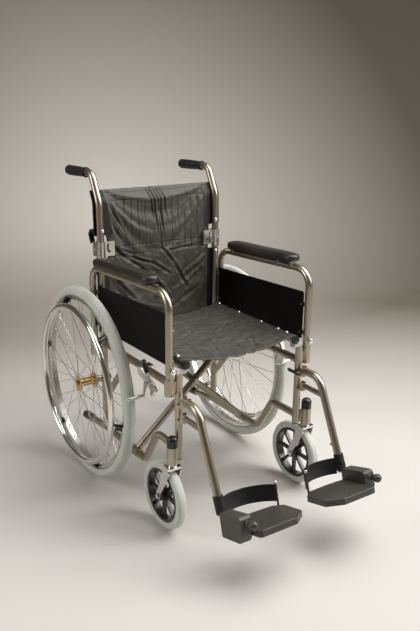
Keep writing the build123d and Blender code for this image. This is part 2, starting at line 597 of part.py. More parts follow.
# ---------------------------------------------------------------- folding back
bracket_plane = Plane.XY.offset(CANE_TOP_Z - 18)
bracket_r = TUBE_R + BRACKET_WALL
with BuildPart() as back_hinge:
    # clamp ring on the fixed cane, then a front half shell with two cheeks and the pivot pin
    with BuildSketch(bracket_plane):
        with Locations((FRAME_X, REAR_POST_LEAN)):
            Circle(bracket_r)
    extrude(amount=16)
    with BuildSketch(bracket_plane.offset(9)):
        with Locations((FRAME_X, REAR_POST_LEAN)):
            Circle(bracket_r)
        with Locations((FRAME_X, REAR_POST_LEAN + 13)):
            Rectangle(2 * bracket_r, 26)
        with Locations((FRAME_X, REAR_POST_LEAN)):
            Circle(TUBE_R + 0.5, mode=Mode.SUBTRACT)
        with Locations((FRAME_X, REAR_POST_LEAN + 15)):
            Rectangle(2 * (TUBE_R + 0.5), 30, mode=Mode.SUBTRACT)
    extrude(amount=BRACKET_HEIGHT)
    rod((FRAME_X - TUBE_R - 6, *BACK_PIVOT), (FRAME_X + TUBE_R + 6, *BACK_PIVOT), BACK_PIN_R)
    # inboard plate with its adjusting slot
    with BuildSketch(Plane.XZ.offset(-REAR_POST_LEAN - 2)):
        with Locations((FRAME_X - 29, BACK_PIVOT[1])):
            RectangleRounded(HINGE_PLATE[0], HINGE_PLATE[1], 3)
        with Locations((FRAME_X - 24, BACK_PIVOT[1] + 5)):
            SlotOverall(HINGE_SLOT[0], HINGE_SLOT[1], rotation=90, mode=Mode.SUBTRACT)
        with Locations((FRAME_X - 28, BACK_PIVOT[1] - 8)):
            Circle(4, mode=Mode.SUBTRACT)
    extrude(amount=HINGE_PLATE[2])
    rod((FRAME_X, 0, LOWER_RAIL_Z), (FRAME_X, REAR_POST_LEAN, CANE_TOP_Z), TUBE_R, Mode.SUBTRACT)
left_pieces["back_hinge"] = back_hinge

with BuildPart() as upper_cane:
    cane_line = side_path(
        FRAME_X, [(REAR_POST_LEAN, UPPER_CANE_FOOT_Z), UPPER_CANE_BEND, HANDLE_BEND, HANDLE_END], (60, 30)
    )
    tube(cane_line, TUBE_R)
    # hinge lug behind the foot of the tube
    side_plate(FRAME_X - 9, 18, [(*BACK_PIVOT, 8), (*CANE_LUG, 6)])
    rod((FRAME_X - 20, *BACK_PIVOT), (FRAME_X + 20, *BACK_PIVOT), BACK_PIN_R + FIT, Mode.SUBTRACT)
    # ear for the release lever
    side_plate(FRAME_X - 3, 6, [(REAR_POST_LEAN + 7, RELEASE_PIVOT[1], 6), (*RELEASE_PIVOT, 5)])
    rod((FRAME_X - 8, *RELEASE_PIVOT), (FRAME_X + 8, *RELEASE_PIVOT), RELEASE_PIN_R)
left_pieces["upper_cane"] = upper_cane

with BuildPart() as back_release:
    for cheek_x in (FRAME_X - 7, FRAME_X + 3 + AIR):
        side_plate(cheek_x, 3.7, [(*RELEASE_PIVOT, 6), RELEASE_LEVER[0]])
    side_plate(FRAME_X - 7, 14, RELEASE_LEVER)
    rod((FRAME_X - 12, *RELEASE_PIVOT), (FRAME_X + 12, *RELEASE_PIVOT), RELEASE_PIN_R + FIT, Mode.SUBTRACT)
left_pieces["back_release"] = back_release

with BuildPart() as push_grip:
    handle_dir = (Vector(0, *HANDLE_END) - Vector(0, *HANDLE_BEND)).normalized()
    handle_start = Vector(FRAME_X, *HANDLE_BEND)

    def on_handle(y):
        return handle_start + handle_dir * ((y - HANDLE_BEND[0]) / handle_dir.Y)

    rod(on_handle(GRIP_START_Y), on_handle(GRIP_END_Y), GRIP_R)
    fillet(edges().group_by(Axis.Y)[-1], 5)
    rod(on_handle(GRIP_START_Y - 4), on_handle(GRIP_START_Y + 4), GRIP_R + 2)
    rod(on_handle(GRIP_START_Y - 10), on_handle(HANDLE_END[0]), TUBE_R, Mode.SUBTRACT)
left_pieces["push_grip"] = push_grip

# ---------------------------------------------------------------- parking brake
with BuildPart() as brake_clamp:
    with BuildSketch(Plane.XZ.offset(-CLAMP_Y - CLAMP_LENGTH / 2)):
        with Locations((FRAME_X, UPPER_RAIL_Z)):
            RectangleRounded(34, 32, 5)
        with Locations((FRAME_X, UPPER_RAIL_Z)):
            Circle(TUBE_R, mode=Mode.SUBTRACT)
    extrude(amount=CLAMP_LENGTH)
    clamp_face_x = FRAME_X + 17
    side_plate(clamp_face_x, BRAKE_PLATE_X + BRAKE_PLATE_THICKNESS - clamp_face_x, [
        (CLAMP_Y, UPPER_RAIL_Z, 14), (*LEVER_PIVOT, 10), (*CLAMP_HEEL, 8),
    ])
    side_plate(BRAKE_PLATE_X, BRAKE_PLATE_THICKNESS, [(CLAMP_Y, UPPER_RAIL_Z, 14), (*SHOE_PIVOT, 9)])
    rod((BRAKE_PLATE_X, *LEVER_PIVOT), (BRAKE_PLATE_X + 12, *LEVER_PIVOT), BRAKE_PIN_R)
    rod((BRAKE_PLATE_X, *SHOE_PIVOT), (BRAKE_PLATE_X + 17, *SHOE_PIVOT), BRAKE_PIN_R)
left_pieces["brake_clamp"] = brake_clamp

lever_x = BRAKE_PLATE_X + BRAKE_PLATE_THICKNESS + AIR
shoe_x = lever_x + BRAKE_LINK_THICKNESS + AIR

with BuildPart() as brake_lever:
    side_plate(lever_x, BRAKE_LINK_THICKNESS, [(*LEVER_PIVOT, 9), (*LEVER_ELBOW, 6), (*LEVER_TIP, 6)])
    side_plate(lever_x, BRAKE_LINK_THICKNESS, [(*LEVER_PIVOT, 9), (*LEVER_TAIL, 5)])
    rod((lever_x - 5, *LEVER_PIVOT), (lever_x + 9, *LEVER_PIVOT), BRAKE_PIN_R + FIT, Mode.SUBTRACT)
left_pieces["brake_lever"] = brake_lever

with BuildPart() as brake_shoe:
    side_plate(shoe_x, BRAKE_LINK_THICKNESS, [(*SHOE_PIVOT, 8), (*SHOE_BAR, SHOE_BAR_R)])
    rod((shoe_x, *SHOE_BAR), (WHEEL_X + 17, *SHOE_BAR), SHOE_BAR_R)
    rod((shoe_x - 5, *SHOE_PIVOT), (shoe_x + 9, *SHOE_PIVOT), BRAKE_PIN_R + FIT, Mode.SUBTRACT)
left_pieces["brake_shoe"] = brake_shoe


# ---------------------------------------------------------------- folding cross brace with seat rails
def brace_tube(side, y):
    """One brace tube with its lower sleeve and the seat rail on top; side is -1 for a foot on the right."""
    foot = (side * FRAME_X, y, LOWER_RAIL_Z)
    head = (-side * SEAT_RAIL_X, y, SEAT_RAIL_Z)
    rod(foot, head, TUBE_R)
    half_sleeve = BRACE_SLEEVE_LENGTH / 2
    sleeve = ((foot[0], y - half_sleeve, foot[2]), (foot[0], y + half_sleeve, foot[2]))
    rod(*sleeve, BRACE_SLEEVE_R)
    rod(*sleeve, TUBE_R + FIT, Mode.SUBTRACT)
    rod((head[0], SEAT_RAIL_FRONT_Y, SEAT_RAIL_Z), (head[0], SEAT_RAIL_REAR_Y, SEAT_RAIL_Z), TUBE_R)


cross_z = LOWER_RAIL_Z + (SEAT_RAIL_Z - LOWER_RAIL_Z) * FRAME_X / (FRAME_X + SEAT_RAIL_X)

with BuildPart() as cross_tube_a:
    brace_tube(-1, BRACE_A_Y)
    rod((0, BRACE_A_Y - 17, cross_z), (0, BRACE_B_Y + 17, cross_z), BRACE_BOLT_R)
    rod((0, BRACE_A_Y - 17, cross_z), (0, BRACE_A_Y - TUBE_R + 2, cross_z), 9)
    rod((0, BRACE_B_Y + TUBE_R + 1, cross_z), (0, BRACE_B_Y + 17, cross_z), 9)

with BuildPart() as cross_tube_b:
    brace_tube(1, BRACE_B_Y)
    rod((0, BRACE_B_Y - 20, cross_z), (0, BRACE_B_Y + 20, cross_z), BRACE_BOLT_R + FIT, Mode.SUBTRACT)

# ---------------------------------------------------------------- upholstery stand-ins
with BuildPart() as seat_sling:
    with BuildSketch(Plane.XZ.offset(-SEAT_RAIL_REAR_Y)):
        with BuildLine():
            ThreePointArc(
                (-SEAT_RAIL_X, SEAT_EDGE_Z), (0, SEAT_EDGE_Z - SEAT_SAG), (SEAT_RAIL_X, SEAT_EDGE_Z)
            )
            offset(amount=SLING_THICKNESS / 2, side=Side.BOTH)
        make_face()
    extrude(amount=SEAT_RAIL_REAR_Y - SEAT_RAIL_FRONT_Y - 6)

with BuildPart() as back_sling:
    with BuildSketch(Plane.XY.offset(BACK_BOTTOM_Z)):
        with BuildLine():
            ThreePointArc(
                (-SEAT_RAIL_X, BACK_EDGE_Y), (0, BACK_EDGE_Y + BACK_SAG), (SEAT_RAIL_X, BACK_EDGE_Y)
            )
            offset(amount=SLING_THICKNESS / 2, side=Side.BOTH)
        make_face()
    extrude(amount=BACK_TOP_Z - BACK_BOTTOM_Z)
    for notch_x in (-184, 184):
        with Locations((notch_x, 10, 720)):
            Box(32, 60, 76, mode=Mode.SUBTRACT)

# ---------------------------------------------------------------- labels, mirroring and export
finished = {
    "cross_tube_a": cross_tube_a.part,
    "cross_tube_b": cross_tube_b.part,
    "seat_sling": seat_sling.part,
    "back_sling": back_sling.part,
}
for name, piece in left_pieces.items():
    finished["left_" + name] = piece.part
    finished["right_" + name] = mirror(piece.part, about=Plane.YZ)
for name, shape in finished.items():
    placed = Pos(*FRAME_SHIFT) * shape
    placed.label = name
    export_step(placed, f"parts/{name}.step")
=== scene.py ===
import bpy
import bmesh
import json
import math
from mathutils import Matrix, Vector, noise
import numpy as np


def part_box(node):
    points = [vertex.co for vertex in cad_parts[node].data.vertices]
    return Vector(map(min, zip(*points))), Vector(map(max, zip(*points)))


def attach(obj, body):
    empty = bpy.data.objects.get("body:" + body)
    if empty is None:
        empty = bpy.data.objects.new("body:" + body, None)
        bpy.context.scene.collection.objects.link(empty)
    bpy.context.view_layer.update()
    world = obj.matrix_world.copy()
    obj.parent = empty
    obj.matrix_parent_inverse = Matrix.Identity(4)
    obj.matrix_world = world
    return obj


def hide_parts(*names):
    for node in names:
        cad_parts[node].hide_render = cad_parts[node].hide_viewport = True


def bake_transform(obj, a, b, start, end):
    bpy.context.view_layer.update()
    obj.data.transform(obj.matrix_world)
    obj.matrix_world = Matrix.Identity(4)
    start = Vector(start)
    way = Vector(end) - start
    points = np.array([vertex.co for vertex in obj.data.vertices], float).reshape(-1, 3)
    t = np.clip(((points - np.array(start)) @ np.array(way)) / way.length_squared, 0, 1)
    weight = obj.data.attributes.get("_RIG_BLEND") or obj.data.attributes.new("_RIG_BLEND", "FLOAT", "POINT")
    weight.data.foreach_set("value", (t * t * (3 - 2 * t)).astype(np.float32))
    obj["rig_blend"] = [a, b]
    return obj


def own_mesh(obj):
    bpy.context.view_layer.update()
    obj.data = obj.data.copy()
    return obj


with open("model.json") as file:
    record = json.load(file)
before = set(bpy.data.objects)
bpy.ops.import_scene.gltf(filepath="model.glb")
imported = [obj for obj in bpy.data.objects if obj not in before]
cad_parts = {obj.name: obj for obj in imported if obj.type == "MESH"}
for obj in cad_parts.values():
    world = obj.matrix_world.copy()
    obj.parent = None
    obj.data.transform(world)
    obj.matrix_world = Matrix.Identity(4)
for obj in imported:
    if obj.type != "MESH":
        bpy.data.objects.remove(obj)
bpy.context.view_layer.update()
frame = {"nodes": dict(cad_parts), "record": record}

# ------------------------------------------------------------------ places worked out from the frame
MM = 0.001
SIDES = {"left": 1, "right": -1}


def middle(node):
    low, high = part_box(node)
    return (low + high) / 2


AXLE = middle("left_rear_tyre")
WHEEL_X = AXLE.x / MM
AXLE_Z = AXLE.z / MM


def at(x, y, z):
    """A point given in millimetres, with y measured from the rear axle and z from the floor."""
    return Vector((x * MM, AXLE.y + y * MM, z * MM))


FRAME_X = 210.0
TUBE_R = 11.0
RAIL_X = 190.0
RAIL_Z = 490.0
FOOT_TILT = math.radians(16.0)
FOOT_AXIS = (-656.0, 153.0)
PLATE_INNER = -171.0
HINGE_Z = 720.0


def foot_point(side, x, y, z):
    """A point in the tilted frame of one footplate: x inboard, y towards the heel, z up from the stem."""
    back = y * math.cos(FOOT_TILT) + z * math.sin(FOOT_TILT)
    up = -y * math.sin(FOOT_TILT) + z * math.cos(FOOT_TILT)
    return at(side * (FRAME_X + x), FOOT_AXIS[0] + back, FOOT_AXIS[1] + up)


def placed(name, data):
    """A new object in the scene that holds the given data."""
    piece = bpy.data.objects.new(name, data)
    bpy.context.scene.collection.objects.link(piece)
    return piece


# ------------------------------------------------------------------ camera
CAMERA_EYE = (-1185.8, -2021.4, 1212.4)
CAMERA_TARGET = (85.0, -155.2, 504.8)
CAMERA_ROLL = math.radians(0.8)
LENS = 42.64
SENSOR = 36.0


def make_camera():
    eye = at(*CAMERA_EYE)
    target = at(*CAMERA_TARGET)
    ahead = (target - eye).normalized()
    right = ahead.cross(Vector((0, 0, 1))).normalized()
    up = right.cross(ahead)
    rolled_right = right * math.cos(CAMERA_ROLL) + up * math.sin(CAMERA_ROLL)
    rolled_up = up * math.cos(CAMERA_ROLL) - right * math.sin(CAMERA_ROLL)
    data = bpy.data.cameras.new("camera")
    data.lens = LENS
    data.sensor_width = SENSOR
    camera = placed("camera", data)
    axes = Matrix((rolled_right, rolled_up, -ahead)).transposed()
    camera.matrix_world = Matrix.Translation(eye) @ axes.to_4x4()
    bpy.context.scene.camera = camera


make_camera()


# ------------------------------------------------------------------ materials
class Nodes:
    """A material's node tree with short ways to add the nodes used here."""

    def __init__(self, name):
        self.material = bpy.data.materials.new(name)
        self.material.use_nodes = True
        self.tree = self.material.node_tree
        self.shader = self.tree.nodes["Principled BSDF"]
        self.coords = self.add("ShaderNodeTexCoord").outputs["Object"]

    def put(self, socket, value):
        """Sets a socket to a number or a tuple, or links another node's output to it."""
        if isinstance(value, bpy.types.NodeSocket):
            self.tree.links.new(value, socket)
        elif socket.type == "RGBA":
            socket.default_value = (*value, 1.0)
        else:
            socket.default_value = value

    def add(self, kind, inputs=None, **values):
        node = self.tree.nodes.new(kind)
        for key, value in values.items():
            setattr(node, key, value)
        for key, value in (inputs or {}).items():
            self.put(node.inputs[key], value)
        return node

    def scaled(self, x, y, z):
        return self.add("ShaderNodeMapping", {"Scale": (x, y, z), "Vector": self.coords}).outputs["Vector"]

    def noise(self, scale, detail=3.0, rough=0.5, vector=None):
        inputs = {"Scale": scale, "Detail": detail, "Roughness": rough, "Vector": vector or self.coords}
        return self.add("ShaderNodeTexNoise", inputs).outputs["Fac"]

    def wave(self, scale, direction, distortion):
        inputs = {"Scale": scale, "Distortion": distortion, "Vector": self.coords}
        node = self.add("ShaderNodeTexWave", inputs, wave_type="BANDS", bands_direction=direction)
        return node.outputs["Fac"]

    def spread(self, source, low, high, from_low=0.3, from_high=0.7):
        inputs = {"From Min": from_low, "From Max": from_high, "To Min": low, "To Max": high,
                  "Value": source}
        return self.add("ShaderNodeMapRange", inputs).outputs["Result"]

    def math(self, operation, a, b):
        return self.add("ShaderNodeMath", {0: a, 1: b}, operation=operation).outputs["Value"]

    def mix(self, factor, dark, light):
        node = self.add("ShaderNodeMix", {"Factor": factor}, data_type="RGBA")
        for name, value in (("A", dark), ("B", light)):
            self.put(next(s for s in node.inputs if s.name == name and s.type == "RGBA"), value)
        return next(s for s in node.outputs if s.type == "RGBA")

    def pool(self, centre, inner, outer):
        """1 within the inner distance of a point, falling to 0 at the outer one."""
        node = self.add("ShaderNodeVectorMath", {0: self.coords, 1: centre}, operation="DISTANCE")
        return self.spread(node.outputs["Value"], 1.0, 0.0, inner, outer)

    def bump(self, height, strength, distance, normal=None):
        inputs = {"Strength": strength, "Distance": distance, "Height": height}
        if normal is not None:
            inputs["Normal"] = normal
        return self.add("ShaderNodeBump", inputs).outputs["Normal"]

    def finish(self, **values):
        for key, value in values.items():
            self.put(self.shader.inputs[key], value)
        return self.material


def tone(color, factor):
    return tuple(min(1.0, c * factor) for c in color)


def metal(name, color, rough, streak=0.05, grime=0.12, coat=0.0, bump=0.02):
    """Metal with cloudy colour, roughness that varies, fine scratches and a little orange peel."""
    n = Nodes(name)
    cloud = n.noise(9.0, 4.0, 0.6)
    fine = n.noise(420.0, 2.0, 0.6)
    scratch = n.noise(60.0, 6.0, 0.7, n.scaled(1.0, 6.0, 1.0))
    colour = n.mix(n.spread(cloud, 0.0, 1.0), tone(color, 1.0 - grime), tone(color, 1.0 + grime * 0.5))
    roughness = n.math("ADD", n.spread(scratch, rough - streak, rough + streak), n.spread(fine, 0.0, 0.03))
    return n.finish(**{
        "Base Color": colour, "Metallic": 1.0, "Roughness": roughness,
        "Normal": n.bump(n.noise(160.0, 2.0), bump, 0.0004),
        "Coat Weight": coat, "Coat Roughness": 0.12,
    })


def plastic(name, color, rough, grain=0.15, grain_scale=900.0, variation=0.18, coat=0.0, specular=0.5):
    """Moulded plastic or rubber with a fine grain and scuffs that lighten it a little."""
    n = Nodes(name)
    cloud = n.noise(14.0, 5.0, 0.6)
    scuff = n.noise(55.0, 6.0, 0.75)
    colour = n.mix(n.spread(cloud, 0.0, 1.0), tone(color, 1.0 - variation), tone(color, 1.0 + variation))
    worn = n.mix(n.spread(scuff, 0.0, 0.35, 0.58, 0.8), colour, tone(color, 1.6))
    roughness = n.spread(scuff, rough - 0.08, rough + 0.1)
    return n.finish(**{
        "Base Color": worn, "Roughness": roughness, "Specular IOR Level": specular,
        "Normal": n.bump(n.noise(grain_scale, 2.0), grain, 0.0005),
        "Coat Weight": coat, "Coat Roughness": 0.2,
    })


def woven(name, color, rough, sheen, across="X", along="Z", threads=620.0, variation=0.2):
    """Woven cloth: two thread directions, cloudy wear and a soft sheen."""
    n = Nodes(name)
    warp = n.wave(threads, across, 0.4)
    weft = n.wave(threads, along, 0.4)
    weave = n.math("MULTIPLY", warp, weft)
    mottle = n.noise(30.0, 6.0, 0.68)
    cloud = n.noise(6.0, 3.0, 0.5)
    base = n.mix(n.spread(mottle, 0.0, 1.0), tone(color, 1.0 - variation), tone(color, 1.0 + variation))
    colour = n.mix(n.spread(cloud, 0.0, 0.4), base, tone(color, 1.0 + variation * 1.4))
    thread = n.mix(n.spread(weave, 0.0, 0.35, 0.0, 1.0), colour, tone(color, 0.6))
    seam = n.add("ShaderNodeAttribute", attribute_name="seam").outputs["Fac"]
    sewn = n.mix(n.spread(seam, 0.0, 0.75, 0.35, 0.9), thread, tone(color, 0.3))
    puckers = n.bump(n.noise(85.0, 5.0, 0.6), 0.35, 0.0012)
    return n.finish(**{
        "Base Color": sewn, "Roughness": n.spread(mottle, rough - 0.08, rough + 0.08),
        "Normal": n.bump(weave, 0.25, 0.0004, puckers),
        "Sheen Weight": sheen, "Sheen Roughness": 0.4, "Sheen Tint": tone(color, 4.0),
    })


def vinyl(name, color):
    n = Nodes(name)
    grain = n.add("ShaderNodeTexVoronoi", {"Scale": 420.0, "Vector": n.coords}, feature="DISTANCE_TO_EDGE")
    cells = grain.outputs["Distance"]
    cloud = n.noise(12.0, 4.0, 0.6)
    colour = n.mix(n.spread(cloud, 0.0, 1.0), tone(color, 0.8), tone(color, 1.25))
    creases = n.bump(n.noise(40.0, 5.0, 0.55), 0.18, 0.0012)
    return n.finish(**{
        "Base Color": colour, "Roughness": n.spread(cloud, 0.34, 0.46),
        "Normal": n.bump(n.spread(cells, 0.0, 1.0, 0.0, 0.12), 0.2, 0.0003, creases),
        "Coat Weight": 0.15, "Coat Roughness": 0.35,
    })


FINISHES = {
    "frame_metal": metal("champagne_lacquer", (0.44, 0.385, 0.305), 0.33,
                         streak=0.03, coat=0.25, grime=0.04, bump=0.006),
    "steel": metal("zinc_steel", (0.80, 0.79, 0.76), 0.24, grime=0.15, bump=0.06),
    "bracket_metal": metal("silver_zinc", (0.92, 0.91, 0.89), 0.22, grime=0.08),
    "chrome": metal("chrome_plate", (0.82, 0.81, 0.79), 0.09, streak=0.03, grime=0.05, bump=0.008),
    "rim_metal": metal("rim_aluminium", (0.80, 0.79, 0.76), 0.30, grime=0.06, bump=0.02),
    "spoke_steel": metal("spoke_wire", (0.74, 0.73, 0.70), 0.22, grime=0.1),
    "gold_hub": metal("gold_anodised", (0.78, 0.50, 0.16), 0.22, grime=0.15),
    "black_metal": plastic("black_lacquer", (0.018, 0.017, 0.016), 0.32, grain=0.04, coat=0.3),
    "black_plastic": plastic("black_moulding", (0.008, 0.008, 0.007), 0.30, grain=0.05, coat=0.2),
    "white_plastic": plastic("guide_nylon", (0.62, 0.61, 0.57), 0.42, variation=0.06),
    "tyre": plastic("pale_tyre", (0.60, 0.62, 0.575), 0.62, grain=0.12, variation=0.06, specular=0.3),
    "footplate_plastic": plastic("footplate_moulding", (0.048, 0.045, 0.039), 0.42,
                                 grain=0.35, grain_scale=520.0),
    "bumper_rubber": plastic("bumper_rubber", (0.040, 0.038, 0.034), 0.28, grain=0.05, coat=0.2),
    # the black webbing also serves as painted shade on the turned-back strips of the back cloth
    "webbing": woven("black_webbing", (0.008, 0.007, 0.006), 0.66, 0.06, "Y", "Z", 300.0),
    "vinyl": vinyl("pad_vinyl", (0.022, 0.019, 0.016)),
    "panel_plastic": plastic("panel_sheet", (0.0045, 0.0042, 0.0036), 0.6, grain=0.12, specular=0.12),
    "grip_rubber": plastic("grip_rubber", (0.008, 0.0075, 0.0065), 0.48, grain=0.2),
    "nylon": woven("grey_nylon", (0.064, 0.059, 0.051), 0.52, 0.16, "X", "Y"),
}

for part in frame["record"]["subparts"]:
    mesh = frame["nodes"][part["node"]].data
    mesh.materials.clear()
    mesh.materials.append(FINISHES[part["material_slot"]])


# ------------------------------------------------------------------ mesh helpers
def add_object(name, vertices, faces, slot):
    mesh = bpy.data.meshes.new(name)
    mesh.from_pydata([tuple(v) for v in vertices], [], faces)
    mesh.validate()
    return finish_mesh(placed(name, mesh), slot)


def shade_smooth(mesh):
    for polygon in mesh.polygons:
        polygon.use_smooth = True


def finish_mesh(piece, slot):
    piece.data.materials.clear()
    piece.data.materials.append(FINISHES[slot])
    shade_smooth(piece.data)
    return piece


def from_bmesh(name, shape, slot):
    bmesh.ops.recalc_face_normals(shape, faces=shape.faces)
    mesh = bpy.data.meshes.new(name)
    shape.to_mesh(mesh)
    shape.free()
    return finish_mesh(placed(name, mesh), slot)


def apply_modifiers(piece):
    bpy.context.view_layer.update()
    evaluated = piece.evaluated_get(bpy.context.evaluated_depsgraph_get())
    mesh = bpy.data.meshes.new_from_object(evaluated)
    piece.modifiers.clear()
    old = piece.data
    piece.data = mesh
    bpy.data.meshes.remove(old)


def grid_faces(rows, columns, closed_rows=False, closed_columns=False):
    faces = []
    for i in range(rows if closed_rows else rows - 1):
        for j in range(columns if closed_columns else columns - 1):
            a, b = i * columns + j, i * columns + (j + 1) % columns
            c, d = ((i + 1) % rows) * columns + (j + 1) % columns, ((i + 1) % rows) * columns + j
            faces.append((a, b, c, d))
    return faces


def tube_faces(rows, section):
    """The faces of a row of rings, with a cap at each end."""
    faces = grid_faces(rows, section, closed_columns=True)
    faces.append(tuple(range(section))[::-1])
    faces.append(tuple((rows - 1) * section + k for k in range(section)))
    return faces


def turned(name, start, axis, profile, slot, segments=40):
    """A solid of revolution: profile is (distance along the axis, radius) in millimetres."""
    axis = Vector(axis).normalized()
    side = axis.orthogonal().normalized()
    other = axis.cross(side)
    vertices = []
    for along, radius in profile:
        for k in range(segments):
            angle = math.tau * k / segments
            ring = side * math.cos(angle) + other * math.sin(angle)
            vertices.append(start + axis * along * MM + ring * radius * MM)
    return add_object(name, vertices, tube_faces(len(profile), segments), slot)


def joined(name, pieces, slot):
    """Joins small pieces, such as a row of screws, into one object."""
    vertices, faces = [], []
    for piece in pieces:
        start = len(vertices)
        vertices += [v.co.copy() for v in piece.data.vertices]
        faces += [tuple(start + i for i in p.vertices) for p in piece.data.polygons]
        bpy.data.objects.remove(piece)
    return add_object(name, vertices, faces, slot)


def by_angle(piece, degrees=35.0):
    """Smooth shading that keeps the edges sharper than the given angle."""
    limit = math.radians(degrees)
    shape = bmesh.new()
    shape.from_mesh(piece.data)
    for edge in shape.edges:
        edge.smooth = len(edge.link_faces) == 2 and edge.calc_face_angle(0.0) < limit
    shape.to_mesh(piece.data)
    shape.free()
    return piece


def screw_head(point, axis, radius):
    """A pan-head screw on a washer, with a dimple for its recess."""
    profile = [
        (0.0, radius * 1.45), (0.8, radius * 1.45), (0.9, radius * 1.05), (radius * 0.45, radius),
        (radius * 0.62, radius * 0.78), (radius * 0.68, radius * 0.45), (radius * 0.45, radius * 0.22),
        (radius * 0.42, radius * 0.05),
    ]
    return turned("screw", point, axis, profile, "bracket_metal", 20)


def weld_bead(side, point, branch, main, seed, radius):
    """A lumpy line of weld where a tube meets another; branch and main are (y, z) directions."""
    branch = Vector((0, *branch)).normalized()
    main = Vector((0, *main)).normalized()
    across = Vector((1, 0, 0))
    rise, normal = branch.cross(across), main.cross(across)
    if branch.dot(normal) < 0:
        normal = -normal
    around, section = 60, 8
    vertices = []
    for i in range(around):
        angle = math.tau * i / around
        ring = across * math.cos(angle) + rise * math.sin(angle)
        depth = math.sqrt(max(0.0, TUBE_R ** 2 - (radius * math.cos(angle)) ** 2))
        reach = (depth - radius * math.sin(angle) * rise.dot(normal)) / branch.dot(normal)
        bead = 1.6 + 0.3 * math.sin(angle * 20) + 0.3 * noise.noise(Vector((i * 0.4, seed, 0)))
        for j in range(section):
            turn = math.tau * j / section
            offset = ring * (radius + bead * math.cos(turn)) + branch * (reach + bead * math.sin(turn))
            vertices.append(at(side * FRAME_X, *point) + offset * MM)
    return add_object("bead", vertices, grid_faces(around, section, True, True), "frame_metal")


# ------------------------------------------------------------------ upholstery
CLOTH_FRAMES = 26
CLOTH_THICKNESS = 2.0


def simulate_cloth(piece, pinned, slack, gravity):
    """Lets a pinned sheet with spare length settle and buckle, then keeps the result as a mesh."""
    group = piece.vertex_groups.new(name="held")
    group.add(pinned, 1.0, "REPLACE")
    cloth = piece.modifiers.new("cloth", "CLOTH")
    settings = cloth.settings
    settings.quality = 6
    settings.mass = 0.25
    settings.tension_stiffness = 25.0
    settings.compression_stiffness = 25.0
    settings.shear_stiffness = 8.0
    settings.bending_stiffness = 0.35
    settings.shrink_min = -slack
    settings.vertex_group_mass = "held"
    settings.effector_weights.gravity = gravity
    run_cloth(piece, cloth, CLOTH_FRAMES)


def run_cloth(piece, cloth, frames):
    """Steps a cloth modifier through its frames and keeps the last shape as the mesh."""
    cloth.collision_settings.use_collision = False
    cloth.collision_settings.use_self_collision = False
    cloth.point_cache.frame_start = 1
    cloth.point_cache.frame_end = frames
    for step in range(1, frames + 1):
        bpy.context.scene.frame_set(step)
        bpy.context.view_layer.update()
    apply_modifiers(piece)
    bpy.context.scene.frame_set(1)


def sheet_normals(piece):
    piece.data.update()
    return [v.normal.copy() for v in piece.data.vertices]


def refine(piece):
    smooth = piece.modifiers.new("refine", "SUBSURF")
    smooth.levels = 1
    smooth.render_levels = 1
    apply_modifiers(piece)


def solidify(piece):
    """Gives a sheet its cloth thickness."""
    solid = piece.modifiers.new("thickness", "SOLIDIFY")
    solid.thickness = CLOTH_THICKNESS * MM
    solid.offset = 0.0
    apply_modifiers(piece)
    shade_smooth(piece.data)


def crease(u, v, start, end, width, depth):
    """Depth of a soft fold along the line start to end at the point (u, v), all in millimetres."""
    ax, ay = start
    bx, by = end
    dx, dy = bx - ax, by - ay
    length2 = dx * dx + dy * dy
    t = max(0.0, min(1.0, ((u - ax) * dx + (v - ay) * dy) / length2))
    px, py = u - ax - t * dx, v - ay - t * dy
    across = math.hypot(px, py)
    steep = dx * py - dy * px > 0
    fade = math.sin(math.pi * (0.12 + 0.76 * t))
    valley = math.exp(-(across / width) ** 2)
    ridge = math.exp(-((across - width * 1.6) / width) ** 2) * (1.0 if steep else 0.35)
    return depth * fade * (0.7 * ridge - valley)


def store(piece, name, values):
    layer = piece.data.attributes.get(name) or piece.data.attributes.new(name, "FLOAT", "POINT")
    layer.data.foreach_set("value", values)


def read(piece, name):
    values = [0.0] * len(piece.data.vertices)
    piece.data.attributes[name].data.foreach_get("value", values)
    return values


def seam_depth(distance, width=2.4):
    return math.exp(-(distance / width) ** 2)


SEAT_FRONT = -443.0
SEAT_REAR = -46.0
SEAT_SLACK = 0.004
SEAT_GRAVITY = 0.3
SEAT_ROWS = 101
SPAN_STEPS = 92
WRAP_STEPS = 7
WRAP_R = 12.6


SEAT_FOLDS = [
    # start, end, width and depth of each soft fold, as (x, y)
    ((156, -420), (150, -60), 3.6, 2.6), ((146, -410), (141, -80), 3.6, 2.2),
    ((-156, -420), (-150, -60), 3.6, 2.2), ((60, -430), (112, -330), 5.0, 2.4),
    ((20, -430), (36, -350), 4.0, 2.0), ((-60, -430), (-30, -340), 5.0, 2.2),
    ((-110, -420), (-70, -300), 5.0, 2.0), ((-100, -260), (20, -180), 6.0, 2.2),
    ((-130, -160), (10, -100), 6.0, 2.0), ((40, -260), (120, -200), 5.0, 2.0),
    ((70, -150), (130, -80), 5.0, 1.8), ((-20, -320), (60, -270), 6.0, 2.0),
]


def seat_seams(x, y):
    """How strongly the point (x, y) lies on a sewn line of the seat, from 0 to 1."""
    lines = (abs(x) - 160.0, y - SEAT_FRONT - 16.0, y - SEAT_FRONT - 22.0, y - SEAT_REAR + 16.0)
    return max(seam_depth(line, 1.5) for line in lines)


def seat_section(sag):
    """The sling's cross-section from the right rail to the left one: wrap, sagging span, wrap."""
    points = []
    for k in range(WRAP_STEPS):
        angle = math.radians(195.0 - 110.0 * k / (WRAP_STEPS - 1))
        points.append((-RAIL_X + WRAP_R * math.cos(angle), RAIL_Z + WRAP_R * math.sin(angle)))
    edge_x, edge_z = points[-1]
    for k in range(1, SPAN_STEPS):
        t = k / SPAN_STEPS
        x = edge_x * (1 - 2 * t)
        points.append((x, edge_z - sag * 4 * t * (1 - t)))
    points += [(-x, z) for x, z in reversed(points[:WRAP_STEPS])]
    return points


